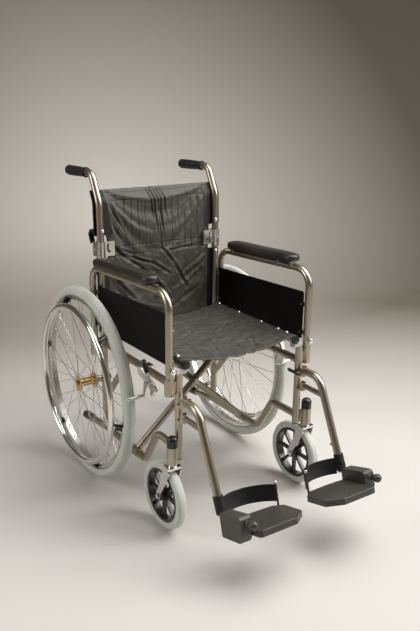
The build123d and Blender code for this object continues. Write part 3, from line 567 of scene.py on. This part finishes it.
def make_seat():
    columns = len(seat_section(0.0))
    vertices = []
    for row in range(SEAT_ROWS):
        v = row / (SEAT_ROWS - 1)
        y = SEAT_FRONT + (SEAT_REAR - SEAT_FRONT) * v
        sag = 8.0 - 2.0 * v
        for x, z in seat_section(sag):
            wobble = noise.noise(Vector((x * 0.035, y * 0.035, 3.0))) * 1.2
            vertices.append(at(x, y, z + wobble * max(0.0, 1.0 - abs(x) / 185.0)))
    seat = add_object("seat_upholstery", vertices, grid_faces(SEAT_ROWS, columns), "nylon")
    held = WRAP_STEPS + 1
    pinned = [r * columns + c for r in range(SEAT_ROWS) for c in range(columns)
              if c < held or c >= columns - held]
    simulate_cloth(seat, pinned, SEAT_SLACK, SEAT_GRAVITY)
    normals = sheet_normals(seat)
    for index, vertex in enumerate(seat.data.vertices):
        row, column = divmod(index, columns)
        if column < held - 2 or column >= columns - held + 2:
            continue
        x = vertex.co.x / MM
        y = (vertex.co.y - AXLE.y) / MM
        front = math.exp(-(y - SEAT_FRONT) / 45.0)
        ripple = noise.fractal(Vector((x * 0.085, y * 0.016, 1.0)), 1.0, 2.0, 3) * (0.9 + 3.6 * front)
        mottle = noise.fractal(Vector((x * 0.034 + y * 0.02, y * 0.045, 7.0)), 1.0, 2.0, 4) * 3.8
        fold = sum(crease(x, y, *line) for line in SEAT_FOLDS)
        edge = min(1.0, (RAIL_X - abs(x)) / 22.0)
        vertex.co += normals[index] * (ripple + mottle + fold) * max(0.0, edge) * MM
    store(seat, "seam", [seat_seams(v.co.x / MM, (v.co.y - AXLE.y) / MM) for v in seat.data.vertices])
    front_line = [seat.data.vertices[c].co.copy() for c in range(columns)]
    rear_line = [seat.data.vertices[(SEAT_ROWS - 1) * columns + c].co.copy() for c in range(columns)]
    solidify(seat)
    refine(seat)
    return seat, front_line, rear_line


def swept(name, path, radius, slot, section):
    """A round cord of cloth along a list of points, closed at both ends."""
    vertices = []
    for i, point in enumerate(path):
        ahead = (path[min(i + 1, len(path) - 1)] - path[max(i - 1, 0)]).normalized()
        side = ahead.cross(Vector((0, 0, 1)))
        side = side.normalized() if side.length > 1e-4 else Vector((1, 0, 0))
        up = side.cross(ahead)
        for k in range(section):
            angle = math.tau * k / section
            vertices.append(point + (side * math.cos(angle) + up * math.sin(angle)) * radius * MM)
    return add_object(name, vertices, tube_faces(len(path), section), slot)


def blend_seat(piece):
    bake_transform(piece, "cross_b", "cross_a", start=at(-RAIL_X + 6, 0, RAIL_Z), end=at(RAIL_X - 6, 0, RAIL_Z))


seat, seat_front_line, seat_rear_line = make_seat()
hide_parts("seat_sling")
section = seat_section(10.0)
blend_seat(seat)
for hem_name, line in (("seat_front_hem", seat_front_line), ("seat_rear_hem", seat_rear_line)):
    hem = swept(hem_name, line, 2.1, "nylon", 10)
    blend_seat(hem)


# ------------------------------------------------------------------ back upholstery
BACK_LOW = 458.0
BACK_HIGH = 896.0
BACK_ROWS = 111
CANE_WRAP_R = 13.0
CANE_STEPS = 9
BACK_SLACK = 0.008
BACK_GRAVITY = 0.12
BACK_DROOP = 0.15          # share of the simulated sag that the taut cloth keeps
HEM_FLARE = 6.0            # how far the loose hem behind the upper cane stands off
GUSSET_STEPS = 4
FACE_STEPS = 90
NOTCH_X = 187.0
NOTCH_Z = (680.0, 762.0)


def cane_y(z):
    """How far back the cane's centre line is at a height."""
    if z < HINGE_Z:
        return 5.0 * (z - 132.0) / 576.0
    if z < 862.0:
        return 5.0 + 5.0 * (z - 724.0) / 138.0
    return 10.0 + 0.518 * (z - 862.0)


def face_edge(z):
    """Half the width of the lit face; the cloth turns back there to reach the tube."""
    if z < 745.0:
        return 182.0
    if z < 765.0:
        return 182.0 - 17.0 * (z - 745.0) / 20.0
    return 165.0 + 22.0 * (z - 765.0) / 130.0


def back_section(z):
    """Plan of the back at one height, from the right cane to the left: (x, y) in millimetres."""
    centre = cane_y(z)
    edge = face_edge(z)
    half = []
    for k in range(CANE_STEPS):
        angle = math.radians(15.0 + 135.0 * k / (CANE_STEPS - 1))
        radius = CANE_WRAP_R + (HEM_FLARE * max(0.0, 1.0 - k / 3) if z > NOTCH_Z[1] else 0.0)
        half.append((FRAME_X + radius * math.cos(angle), centre + radius * math.sin(angle)))
    last_x, last_y = half[-1]
    for k in range(1, GUSSET_STEPS + 1):
        t = k / (GUSSET_STEPS + 1)
        half.append((last_x + (edge - last_x) * t, last_y + (centre + 6.0 - last_y) * t))
    face = []
    for k in range(FACE_STEPS + 1):
        x = -edge + 2 * edge * k / FACE_STEPS
        face.append((x, centre + 6.0 + 20.0 * (1 - (x / edge) ** 2)))
    return [(-x, y) for x, y in half] + face + half[::-1]


BACK_FOLDS = [
    # start, end, width and depth of each soft fold, as (x, z)
    ((-32, 893), (-16, 790), 3.4, 3.6), ((-20, 893), (-4, 740), 3.6, 4.2),
    ((-8, 893), (4, 810), 3.0, 3.2), ((4, 893), (14, 730), 3.6, 4.0),
    ((16, 893), (30, 800), 3.2, 3.2), ((-2, 800), (10, 690), 4.0, 3.2),
    ((-178, 880), (-146, 800), 4.0, 2.8), ((-176, 850), (-124, 766), 4.4, 3.6),
    ((-174, 806), (-134, 742), 4.2, 4.0), ((-178, 740), (-112, 668), 5.0, 6.0),
    ((-172, 724), (-92, 690), 4.2, 4.2), ((-156, 712), (-60, 640), 5.2, 5.0),
    ((-118, 690), (-24, 652), 4.4, 5.0), ((-172, 694), (-96, 604), 5.6, 4.6),
    ((-60, 640), (10, 566), 6.0, 4.6), ((-30, 660), (40, 612), 5.0, 3.6),
    ((40, 688), (168, 700), 4.6, 2.6), ((176, 676), (92, 616), 5.6, 4.0),
    ((60, 640), (104, 560), 5.6, 4.2), ((-20, 604), (36, 532), 6.0, 4.0),
    ((168, 642), (60, 566), 6.4, 4.0), ((-150, 606), (-80, 530), 6.0, 3.6),
    ((132, 600), (66, 520), 6.0, 3.6), ((10, 700), (56, 646), 4.6, 3.6),
    ((-160, 560), (-40, 500), 7.0, 3.6), ((150, 560), (30, 490), 7.0, 3.6),
    ((-70, 520), (30, 480), 6.0, 3.2),
]
CHANNELS = [x for x in range(-168, 169, 24) if abs(x) > 36]
CHANNEL_Z = (692.0, 862.0)


def back_seams(x, z):
    """How strongly the point (x, z) lies on a sewn line of the back, from 0 to 1."""
    strongest = 0.0
    if CHANNEL_Z[0] < z < CHANNEL_Z[1]:
        strongest = max(seam_depth(x - channel - 1.2 * math.sin(z * 0.03), 1.8) for channel in CHANNELS)
    if 36 < abs(x) < 172:
        strongest = max(strongest, seam_depth(z - CHANNEL_Z[1]), seam_depth(z - CHANNEL_Z[0]))
    return max(strongest, seam_depth(z - BACK_HIGH + 9), seam_depth(z - BACK_LOW - 9))


def emboss(piece, depth):
    """Moves each vertex along its normal by depth(across, along), in millimetres."""
    normals = sheet_normals(piece)
    across, along = read(piece, "across"), read(piece, "along")
    for vertex, normal, u, v in zip(piece.data.vertices, normals, across, along):
        vertex.co += normal * depth(u, v) * MM


def back_depth(x, z):
    inside = max(0.0, min(1.0, (face_edge(z) - abs(x)) / 14.0))
    folds = sum(crease(x, z, *fold) for fold in BACK_FOLDS)
    fine = noise.fractal(Vector((x * 0.05, z * 0.018, 2.0)), 1.0, 2.0, 4) * 1.5
    low = max(0.0, (700.0 - z) / 200.0)
    rumple = noise.fractal(Vector((x * 0.022, z * 0.026, 9.0)), 1.0, 2.0, 4) * (1.0 + 3.0 * low)
    return (folds + fine + rumple) * inside - 1.3 * back_seams(x, z) * inside


def make_back():
    heights = [BACK_LOW + (BACK_HIGH - BACK_LOW) * r / (BACK_ROWS - 1) for r in range(BACK_ROWS)]
    columns = len(back_section(HINGE_Z))
    first = CANE_STEPS + GUSSET_STEPS
    vertices, across, along, pinned = [], [], [], []
    for row, z in enumerate(heights):
        for column, (x, y) in enumerate(back_section(z)):
            wobble = noise.noise(Vector((x * 0.03, z * 0.03, 5.0))) * 1.5
            inside = max(0.0, 1.0 - abs(x) / face_edge(z))
            vertices.append(at(x, y + wobble * inside, z))
            across.append(x)
            along.append(z)
            if column <= first or column >= columns - 1 - first:
                pinned.append(row * columns + column)
    faces = []
    for face in grid_faces(BACK_ROWS, columns):
        x = sum(abs(across[i]) for i in face) / 4
        z = sum(along[i] for i in face) / 4
        if not (x > NOTCH_X and NOTCH_Z[0] < z < NOTCH_Z[1]):
            faces.append(face)
    mesh = bpy.data.meshes.new("back_cloth")
    mesh.from_pydata(vertices, [], faces)
    back = placed("back_cloth", mesh)
    store(back, "across", across)
    store(back, "along", along)
    simulate_cloth(back, pinned, BACK_SLACK, BACK_GRAVITY)
    for vertex, z in zip(back.data.vertices, along):
        vertex.co.z = z * MM + (vertex.co.z - z * MM) * BACK_DROOP
    return back


def cut_rows(source, name, keep):
    """A copy of the faces whose middle passes the test keep(across, along), with loose points removed."""
    piece = placed(name, source.data.copy())
    shape = bmesh.new()
    shape.from_mesh(piece.data)
    layers = [shape.verts.layers.float[name] for name in ("across", "along")]
    gone = [f for f in shape.faces if not keep(*(sum(v[layer] for v in f.verts) / 4 for layer in layers))]
    bmesh.ops.delete(shape, geom=gone, context="FACES")
    bmesh.ops.delete(shape, geom=[v for v in shape.verts if not v.link_faces], context="VERTS")
    shape.to_mesh(piece.data)
    shape.free()
    return piece


PLATE_X = 75.0            # the cloth stays behind the hinge plates outboard of this
PLATE_Z = (688.0, 752.0)
BEHIND_PLATE = 12.0


def dress_back(piece):
    """Folds, seams, cloth thickness and the black painted shade on the strip that turns back to the cane, for
    one half of the back.
    """
    refine(piece)
    emboss(piece, back_depth)
    across, along = read(piece, "across"), read(piece, "along")
    for vertex, x, z in zip(piece.data.vertices, across, along):
        if abs(x) > PLATE_X and PLATE_Z[0] < z < PLATE_Z[1]:
            vertex.co.y = max(vertex.co.y, at(0, BEHIND_PLATE, 0).y)
    store(piece, "seam", [back_seams(x, z) for x, z in zip(across, along)])
    solidify(piece)
    finish_mesh(piece, "nylon")
    # painted shade: the strip outboard of the lit face, where the cloth turns back to the cane, gets the black
    # webbing finish
    piece.data.materials.append(FINISHES["webbing"])
    across, along = read(piece, "across"), read(piece, "along")
    for polygon in piece.data.polygons:
        x = sum(abs(across[i]) for i in polygon.vertices) / len(polygon.vertices)
        z = sum(along[i] for i in polygon.vertices) / len(polygon.vertices)
        polygon.material_index = 1 if x > face_edge(z) else 0


TUCK = 5.0
SPAN_X = 198.0             # the cloth wraps a cane outboard of this


def back_half(cloth, half, in_half):
    """The upper or lower half of the back: a span that folds up, and a hem round each cane."""
    body = "_upper_back" if half == "upper" else "_frame"
    for name, side in SIDES.items():
        hem = cut_rows(cloth, f"back_hem_{half}_{name}", lambda x, z: in_half(z) and side * x > SPAN_X)
        dress_back(hem)
        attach(hem, name + body)
    span = cut_rows(cloth, "back_upholstery_" + half, lambda x, z: in_half(z) and abs(x) < SPAN_X)
    if half == "lower":
        for vertex, z in zip(span.data.vertices, read(span, "along")):
            if z > HINGE_Z - 0.5:
                vertex.co.y += 2.5 * MM * min(1.0, (z - HINGE_Z + 4.0) / 4.0)
    dress_back(span)
    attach(span, "right" + body)
    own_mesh(span)
    return span


back_cloth = make_back()
back_upper = back_half(back_cloth, "upper", lambda z: z > HINGE_Z)
back_half(back_cloth, "lower", lambda z: z < HINGE_Z + TUCK)
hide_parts("back_sling")
bpy.data.objects.remove(back_cloth)


# ------------------------------------------------------------------ rear tyres
TYRE_R = AXLE_Z
TYRE_TUBE = 17.0
RIM_BED_R = 274.0
TREAD_BLOCKS = 210
TREAD_STEP = 4


def tyre_radius(angle, around):
    """Tube radius at an angle from the crown: tread blocks over the crown, a rib at each shoulder."""
    reach = abs(math.degrees(angle))
    if reach > 52:
        return TYRE_TUBE - 0.5 * seam_depth(reach - 78.0, 5.0)
    lane = int((math.degrees(angle) + 52) // 13)
    groove = 0.9 if (math.degrees(angle) + 52) % 13 < 3.5 else 0.0
    gap = 1.0 if (around + 2 * (lane % 2)) % TREAD_STEP == 0 else 0.0
    return TYRE_TUBE - max(groove, gap) * (1.0 if reach > 16 else 0.7)


def make_tyre(side):
    around, section = TREAD_BLOCKS * TREAD_STEP, 48
    centre = TYRE_R - TYRE_TUBE
    vertices = []
    for i in range(around):
        turn = math.tau * i / around
        for j in range(section):
            angle = math.radians(-128.0 + 256.0 * j / (section - 1))
            radius = tyre_radius(angle, i)
            x = radius * math.sin(angle)
            r = centre + radius * math.cos(angle)
            vertices.append(at(side * WHEEL_X + x, r * math.cos(turn), AXLE_Z + r * math.sin(turn)))
        bed = RIM_BED_R + 2
        vertices.append(at(side * WHEEL_X, bed * math.cos(turn), AXLE_Z + bed * math.sin(turn)))
    name = "left" if side > 0 else "right"
    tyre = add_object(name + "_tyre_tread", vertices, grid_faces(around, section + 1, True, True), "tyre")
    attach(tyre, name + "_rear_wheel")
    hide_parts(name + "_rear_tyre")
    return by_angle(tyre, 40.0)


def valve(side, name):
    """The tyre's valve: a stem through the rim bed with a cap."""
    start = at(side * WHEEL_X, 0, AXLE_Z) + Vector((0, math.cos(2.0), math.sin(2.0))) * 262 * MM
    axis = Vector((0, -math.cos(2.0), -math.sin(2.0)))
    profile = [(0, 4.0), (2, 4.0), (2.2, 2.8), (12, 2.6), (12.2, 3.6), (22, 3.4), (24, 2.2)]
    stem = turned(name + "_valve", start, axis, profile, "black_plastic", 14)
    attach(stem, name + "_rear_wheel")


SLEEVE_SIZE = 13.0
HANDRIM_TABS = 6
TAB_START = 11.0
SPOKES = 36


def rim_tabs(side, name):
    """Moulded sleeves over the six tabs that hold the hand rim."""
    sleeves = []
    for tab in range(HANDRIM_TABS):
        angle = math.radians(360.0 / HANDRIM_TABS * tab + TAB_START)
        out = Vector((0, math.cos(angle), math.sin(angle)))
        around = Vector((0, -math.sin(angle), math.cos(angle)))
        inner = at(side * (WHEEL_X + 12), 0, AXLE_Z) + out * 267 * MM
        outer = at(side * 305.5, 0, AXLE_Z) + out * 252.5 * MM
        along = (outer - inner).normalized()
        normal = along.cross(around).normalized()
        shape = bmesh.new()
        bmesh.ops.create_cube(shape, size=1.0)
        length = (outer - inner).length
        for vertex in shape.verts:
            taper = 1.0 - 0.25 * (vertex.co.x + 0.5)
            place = inner + along * (vertex.co.x + 0.5) * length
            size = SLEEVE_SIZE * MM * taper
            vertex.co = place + around * vertex.co.y * size + normal * vertex.co.z * size
        bmesh.ops.bevel(shape, geom=shape.edges, offset=1.6 * MM, segments=3, affect="EDGES", profile=0.6)
        sleeves.append(from_bmesh("sleeve", shape, "black_plastic"))
    block = joined(name + "_handrim_sleeves", sleeves, "black_plastic")
    by_angle(block, 50.0)
    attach(block, name + "_rear_wheel")


def nipples(side, name):
    """Spoke nipples that stand out of the rim, one for each spoke."""
    pieces = []
    profile = [(0, 2.6), (1.5, 2.2), (9, 1.8), (9.5, 1.3)]
    for spoke in range(SPOKES):
        angle = math.tau * (spoke + 0.5) / SPOKES
        out = Vector((0, math.cos(angle), math.sin(angle)))
        start = at(side * WHEEL_X, 0, AXLE_Z) + out * 263 * MM
        pieces.append(turned("nipple", start, -out, profile, "spoke_steel", 8))
    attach(joined(name + "_nipples", pieces, "spoke_steel"), name + "_rear_wheel")


for name, side in SIDES.items():
    make_tyre(side)
    valve(side, name)
    rim_tabs(side, name)
    nipples(side, name)


# ------------------------------------------------------------------ arm pads
PAD_SLOPE = math.atan2(22.0, 452.0)
PAD_HALF = Vector((25.5, 169.0, 11.5)) * MM
SWELL_FRAMES = 20
SWELL_LIMIT = 3.0


def make_pad(name):
    """A foam pad in vinyl: a crowned bar with round ends, swelled by a cloth simulation."""
    node = name + "_arm_pad"
    shape = bmesh.new()
    bmesh.ops.create_cube(shape, size=2.0)
    for vertex in shape.verts:
        vertex.co = Vector((vertex.co.x * PAD_HALF.x, vertex.co.y * PAD_HALF.y, vertex.co.z * PAD_HALF.z))
    upright = [e for e in shape.edges if abs(e.verts[0].co.z - e.verts[1].co.z) > PAD_HALF.z]
    bmesh.ops.bevel(shape, geom=upright, offset=PAD_HALF.x * 0.96, segments=10, affect="EDGES", profile=0.5)
    for above, roundness in ((True, 0.75), (False, 0.35)):
        rims = [e for e in shape.edges if all((v.co.z > 0) == above for v in e.verts)]
        bmesh.ops.bevel(shape, geom=rims, offset=PAD_HALF.z * roundness, segments=5, affect="EDGES",
                        profile=0.5)
    pad = from_bmesh(name + "_pad_vinyl", shape, "vinyl")
    remesh = pad.modifiers.new("remesh", "REMESH")
    remesh.mode = "VOXEL"
    remesh.voxel_size = 4.0 * MM
    apply_modifiers(pad)
    start = [v.co.copy() for v in pad.data.vertices]
    swell(pad)
    for vertex, old in zip(pad.data.vertices, start):
        move = vertex.co - old
        vertex.co = old + move * min(1.0, SWELL_LIMIT * MM / max(move.length, 1e-9))
        vertex.co.z = max(vertex.co.z, 0.4 * MM - PAD_HALF.z)
    refine(pad)
    normals = sheet_normals(pad)
    tilt = Matrix.Rotation(-PAD_SLOPE, 3, "X")
    centre = middle(node)
    for vertex, normal in zip(pad.data.vertices, normals):
        x, y, z = vertex.co / MM
        groove = 1.4 * math.exp(-((z + PAD_HALF.z / MM - 5.5) / 1.5) ** 2)
        end = max(0.0, (abs(y) - PAD_HALF.y / MM + 30) / 30)
        below = max(0.0, -z / 11.5)
        pucker = 1.0 * end * math.sin(math.atan2(x, abs(y) - PAD_HALF.y / MM + 24) * 17) * below
        soft = 0.6 * noise.noise(Vector((x * 0.05, y * 0.02, z * 0.05)))
        lift = 5.0 * below * max(0.0, (-y - PAD_HALF.y / MM + 34) / 34) ** 2
        vertex.co += normal * (pucker + soft - groove) * MM
        vertex.co.z += lift * MM
        vertex.co = centre + tilt @ vertex.co
    pad.data.update()
    finish_mesh(pad, "vinyl")
    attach(pad, name + "_armrest")
    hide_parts(node)


def swell(piece):
    cloth = piece.modifiers.new("cloth", "CLOTH")
    cloth.settings.quality = 5
    cloth.settings.use_pressure = True
    cloth.settings.uniform_pressure_force = 4.0
    cloth.settings.effector_weights.gravity = 0.0
    run_cloth(piece, cloth, SWELL_FRAMES)


for name in SIDES:
    make_pad(name)


# ------------------------------------------------------------------ push grips
def make_grip(side, name):
    low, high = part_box(name + "_push_grip")
    tilt = math.atan2(6.0, 161.0)
    start = Vector((side * FRAME_X * MM, low.y, 0.0))
    axis = Vector((0, math.cos(tilt), -math.sin(tilt)))
    start.z = at(0, 0, 945.0 - (start.y - at(0, 53, 0).y) / MM * math.tan(tilt)).z
    length = (high.y - low.y) / MM
    steps, around = 150, 56
    side_way = Vector((1, 0, 0))
    up = side_way.cross(axis)
    vertices = []
    for i in range(steps + 1):
        t = i / steps
        along = 1.0 + (length - 3.0) * t
        collar = 2.2 * math.exp(-((along - 4) / 4.5) ** 2)
        end = math.sqrt(max(0.0, 1 - max(0.0, (along - length + 9) / 7.2) ** 2))
        held = 16 < along < length - 14
        rib = 0.45 if held and int(along / 3.2) % 2 else 0.0
        swell_out = 0.6 * math.sin(math.pi * t) ** 2 + 2.2 * t
        for k in range(around):
            angle = math.tau * k / around
            below = max(0.0, -math.sin(angle))
            finger = 0.9 * below * math.cos(math.tau * (along - 18) / 24.0) if held else 0.0
            radius = (13.4 + swell_out + collar + finger) * max(0.35, end) - rib
            ring = side_way * math.cos(angle) + up * math.sin(angle)
            vertices.append(start + axis * along * MM + ring * radius * MM)
    grip = add_object(name + "_grip_moulding", vertices, tube_faces(steps + 1, around), "grip_rubber")
    by_angle(grip, 30.0)
    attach(grip, name + "_upper_back")
    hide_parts(name + "_push_grip")


for name, side in SIDES.items():
    make_grip(side, name)


# ------------------------------------------------------------------ heel loops
STRAP_HEIGHT = 46.0
STRAP_POINTS = [(-13.5, 7.5), (-84.0, 27.5), (PLATE_INNER + 14.0, -27.5)]


def arc_through(a, b, c, steps):
    """Points along the circular arc from a to c that passes through b."""
    ax, ay = a
    bx, by = b
    cx, cy = c
    d = 2 * (ax * (by - cy) + bx * (cy - ay) + cx * (ay - by))
    a2, b2, c2 = ax * ax + ay * ay, bx * bx + by * by, cx * cx + cy * cy
    ox = (a2 * (by - cy) + b2 * (cy - ay) + c2 * (ay - by)) / d
    oy = (a2 * (cx - bx) + b2 * (ax - cx) + c2 * (bx - ax)) / d
    radius = math.hypot(ax - ox, ay - oy)
    first, last = math.atan2(ay - oy, ax - ox), math.atan2(cy - oy, cx - ox)
    middle_angle = math.atan2(by - oy, bx - ox)
    turn = (last - first) % math.tau
    if (middle_angle - first) % math.tau > turn:
        turn -= math.tau
    angles = [first + turn * k / steps for k in range(steps + 1)]
    return [(ox + radius * math.cos(angle), oy + radius * math.sin(angle)) for angle in angles]


def strap_mesh(name, rings):
    vertices = [point for ring in rings for point in ring]
    strap = add_object(name, vertices, grid_faces(len(rings), len(rings[0])), "webbing")
    refine(strap)
    solidify(strap)
    return finish_mesh(strap, "webbing")


def make_strap(side, name):
    """The loop behind the heel: webbing from a collar on the hanger to the pin on the plate."""
    line = arc_through(*STRAP_POINTS, 44)
    rings, steps = [], 10
    for index, (x, y) in enumerate(line):
        t = index / (len(line) - 1)
        low = -7.0 - 1.0 * math.sin(math.pi * t)
        ring = []
        for k in range(steps + 1):
            v = k / steps
            cup = 2.2 * math.sin(math.pi * v) * math.sin(math.pi * t)
            ripple = 0.7 * noise.noise(Vector((x * 0.06, v * 2.0, side * 4.0)))
            ring.append(foot_point(side, x, y + cup + ripple, low + STRAP_HEIGHT * v))
        rings.append(ring)
    strap = strap_mesh(name + "_heel_webbing", rings)
    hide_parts(name + "_heel_strap")
    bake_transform(strap, name + "_hanger_arm", name + "_foot", start=foot_point(side, -20, 10, 0),
             end=foot_point(side, PLATE_INNER + 24, -20, 0))
    collar(side, name)
    heel_pin(side, name)


def collar(side, name):
    """The webbing sleeve round the foot of the hanger tube, with an overlapped end."""
    foot, bend = at(side * FRAME_X, -656, 149), at(side * FRAME_X, -539, 398)
    axis = (bend - foot).normalized()
    around, steps = 40, 8
    side_way = Vector((1, 0, 0))
    other = axis.cross(side_way)
    rings = []
    for i in range(around + 1):
        angle = math.tau * i / around * 1.04 + 0.4
        radius = 12.4 + 1.3 * i / around
        ring = []
        for k in range(steps + 1):
            wave = 0.35 * math.sin(k * 1.7 + i * 0.3)
            point = foot + axis * (4.0 + 48.0 * k / steps) * MM
            outward = side_way * math.cos(angle) + other * math.sin(angle)
            ring.append(point + outward * (radius + wave) * MM)
        rings.append(ring)
    sleeve = strap_mesh(name + "_heel_collar", rings)
    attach(sleeve, name + "_hanger_arm")


def heel_pin(side, name):
    """The bright dome on top of the pin that holds the loop."""
    top = foot_point(side, PLATE_INNER + 14, -32, -21.5 + 66)
    up = (foot_point(side, 0, 0, 1) - foot_point(side, 0, 0, 0)).normalized()
    dome = [(-3, 4.2), (0, 4.6), (2, 4.4), (4, 3.2), (5, 1.4)]
    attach(turned(name + "_heel_pin_cap", top, up, dome, "chrome", 20), name + "_foot")


for name, side in SIDES.items():
    make_strap(side, name)


# ------------------------------------------------------------------ small hardware
SEAT_SCREW_Y = (-56.0, -168.0, -284.0, -367.0, -407.0)
SCREW_RISE = 13.9
RAIL_ENDS = (-446.0, -40.0)


def seat_hardware():
    for side, body, name in ((1, "cross_a", "left"), (-1, "cross_b", "right")):
        places = [at(side * (RAIL_X + 1), y, RAIL_Z + SCREW_RISE) for y in SEAT_SCREW_Y]
        screws = [screw_head(place, (side * 0.08, 0, 1), 5.0) for place in places]
        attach(joined(name + "_seat_screws", screws, "bracket_metal"), body)
        cap = [(-8, 9.0), (0, 9.2), (0.1, 12.4), (5, 12.4), (8, 11.0), (9.6, 7.0), (10, 1.0)]
        for end, y, way in (("front", RAIL_ENDS[0], -1), ("rear", RAIL_ENDS[1], 1)):
            piece = turned(f"{name}_rail_cap_{end}", at(side * RAIL_X, y, RAIL_Z), (0, way, 0), cap,
                           "black_plastic", 32)
            by_angle(piece)
            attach(piece, body)


def frame_welds():
    """Weld lines where the tubes of each side frame meet."""
    rear_y = 2.5
    joints = (
        ((-444.0, 423.0), (1, 0), (0, 1), TUBE_R), ((-444.0, 246.0), (1, 0), (0, 1), TUBE_R),
        ((rear_y, 423.0), (-1, 0), (0, 1), TUBE_R), ((0.0, 132.0), (0, 1), (1, 0), TUBE_R),
        ((0.0, 232.0), (-165, 191), (0, 1), TUBE_R - 1), ((-165.0, 423.0), (165, -191), (1, 0), TUBE_R - 1),
    )
    for name, side in SIDES.items():
        beads = [weld_bead(side, point, branch, main, seed, radius)
                 for seed, (point, branch, main, radius) in enumerate(joints)]
        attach(joined(name + "_frame_welds", beads, "frame_metal"), name + "_frame")


def back_bolts():
    """A bright screw above and below each hinge bracket."""
    for name, side in SIDES.items():
        for label, z, body in (("upper", 776.0, name + "_upper_back"), ("lower", 672.0, name + "_frame")):
            start = at(side * (FRAME_X - 4.0), cane_y(z) - TUBE_R + 0.6, z)
            screw = screw_head(start, (-side * 0.3, -1, 0), 4.2)
            screw.name = name + "_back_screw_" + label
            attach(screw, body)


def brake_trim():
    """The black sleeve on each brake lever."""
    for name, side in SIDES.items():
        x = side * 238.0
        low, high = at(x, -323.0, 434.6), at(x, -299.5, 467.4)
        along = (high - low).normalized()
        length = (high - low).length / MM
        profile = [(0, 4.6), (0.6, 6.4), (3, 6.9), (length * 0.5, 7.1), (length - 5, 7.4),
                   (length - 1.5, 6.2), (length, 3.0)]
        sleeve = turned(name + "_brake_sleeve", low, along, profile, "black_plastic", 28)
        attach(sleeve, name + "_lever")


seat_hardware()
frame_welds()
back_bolts()
brake_trim()


# ------------------------------------------------------------------ studio
FLOOR_COLOUR = (0.62, 0.60, 0.575)
# painted shade: the dark tone the paper takes outside both painted pools of light
PAINTED_SHADE_COLOUR = (0.155, 0.136, 0.107)
# painted light: the colour of the pool of light painted on the wall behind the chair
PAINTED_GLOW_COLOUR = (0.90, 0.87, 0.82)
LIGHT_COLOUR = (1.0, 0.98, 0.95)
AIR_COLOUR = (0.80, 0.78, 0.75, 1.0)
AIR_STRENGTH = 0.19


def paper():
    """Pale paper with painted light: a painted pool of light on the floor round the chair and a second painted
    pool of light on the wall behind it, in a dark painted shade everywhere else.
    """
    n = Nodes("studio_paper")
    # painted light: one pool round the chair on the floor and one on the wall behind it; outside them the paper
    # takes the painted shade colour
    painted_floor_pool, painted_wall_glow = (n.pool(*pool) for pool in (((-0.5, -0.9, 0.0), 1.4, 3.2), ((1.5, 3.5, 0.2), 0.2, 2.5)))
    colour = n.mix(painted_floor_pool, n.mix(painted_wall_glow, PAINTED_SHADE_COLOUR, PAINTED_GLOW_COLOUR), FLOOR_COLOUR)
    return n.finish(**{"Base Color": colour, "Roughness": 0.8})


def make_stage():
    """A pale floor that curves up into a round wall, so that it looks the same from every side."""
    profile = [(0.0, 0.0), (1.0, 0.0), (2.0, 0.0), (3.0, 0.0)]
    for k in range(1, 13):
        angle = math.radians(90.0 * k / 12)
        profile.append((3.0 + 1.6 * math.sin(angle), 1.6 - 1.6 * math.cos(angle)))
    profile.append((4.6, 4.2))
    around = 96
    vertices = []
    for radius, height in profile:
        for k in range(around):
            angle = math.tau * k / around
            vertices.append(Vector((radius * math.cos(angle), radius * math.sin(angle), height)))
    faces = [face[::-1] for face in grid_faces(len(profile), around, closed_columns=True)[around:]]
    faces.append(tuple(around + k for k in range(around)))
    mesh = bpy.data.meshes.new("studio")
    mesh.from_pydata(vertices, [], faces)
    shade_smooth(mesh)
    stage = placed("studio", mesh)
    stage.data.materials.append(paper())


def softbox(name, place, aim, size, power):
    data = bpy.data.lights.new(name, "AREA")
    data.shape = "RECTANGLE"
    data.size, data.size_y = size
    data.energy = power
    data.color = LIGHT_COLOUR
    light = placed(name, data)
    light.location = place
    light.rotation_euler = (Vector(aim) - Vector(place)).to_track_quat("-Z", "Y").to_euler()


def make_lights():
    softbox("overhead", (1.1, -0.6, 3.4), (0, 0, 0.4), (3.0, 3.0), 135.0)
    softbox("key", (2.6, -2.0, 2.5), (0, 0, 0.5), (1.6, 2.2), 90.0)
    softbox("edge", (-3.0, 0.9, 1.9), (0, 0, 0.5), (0.9, 2.2), 40.0)
    world = bpy.data.worlds.new("studio_air")
    world.use_nodes = True
    air = world.node_tree.nodes["Background"]
    air.inputs["Color"].default_value = AIR_COLOUR
    air.inputs["Strength"].default_value = AIR_STRENGTH
    bpy.context.scene.world = world


make_stage()
make_lights()
bpy.context.scene.view_settings.view_transform = "Standard"
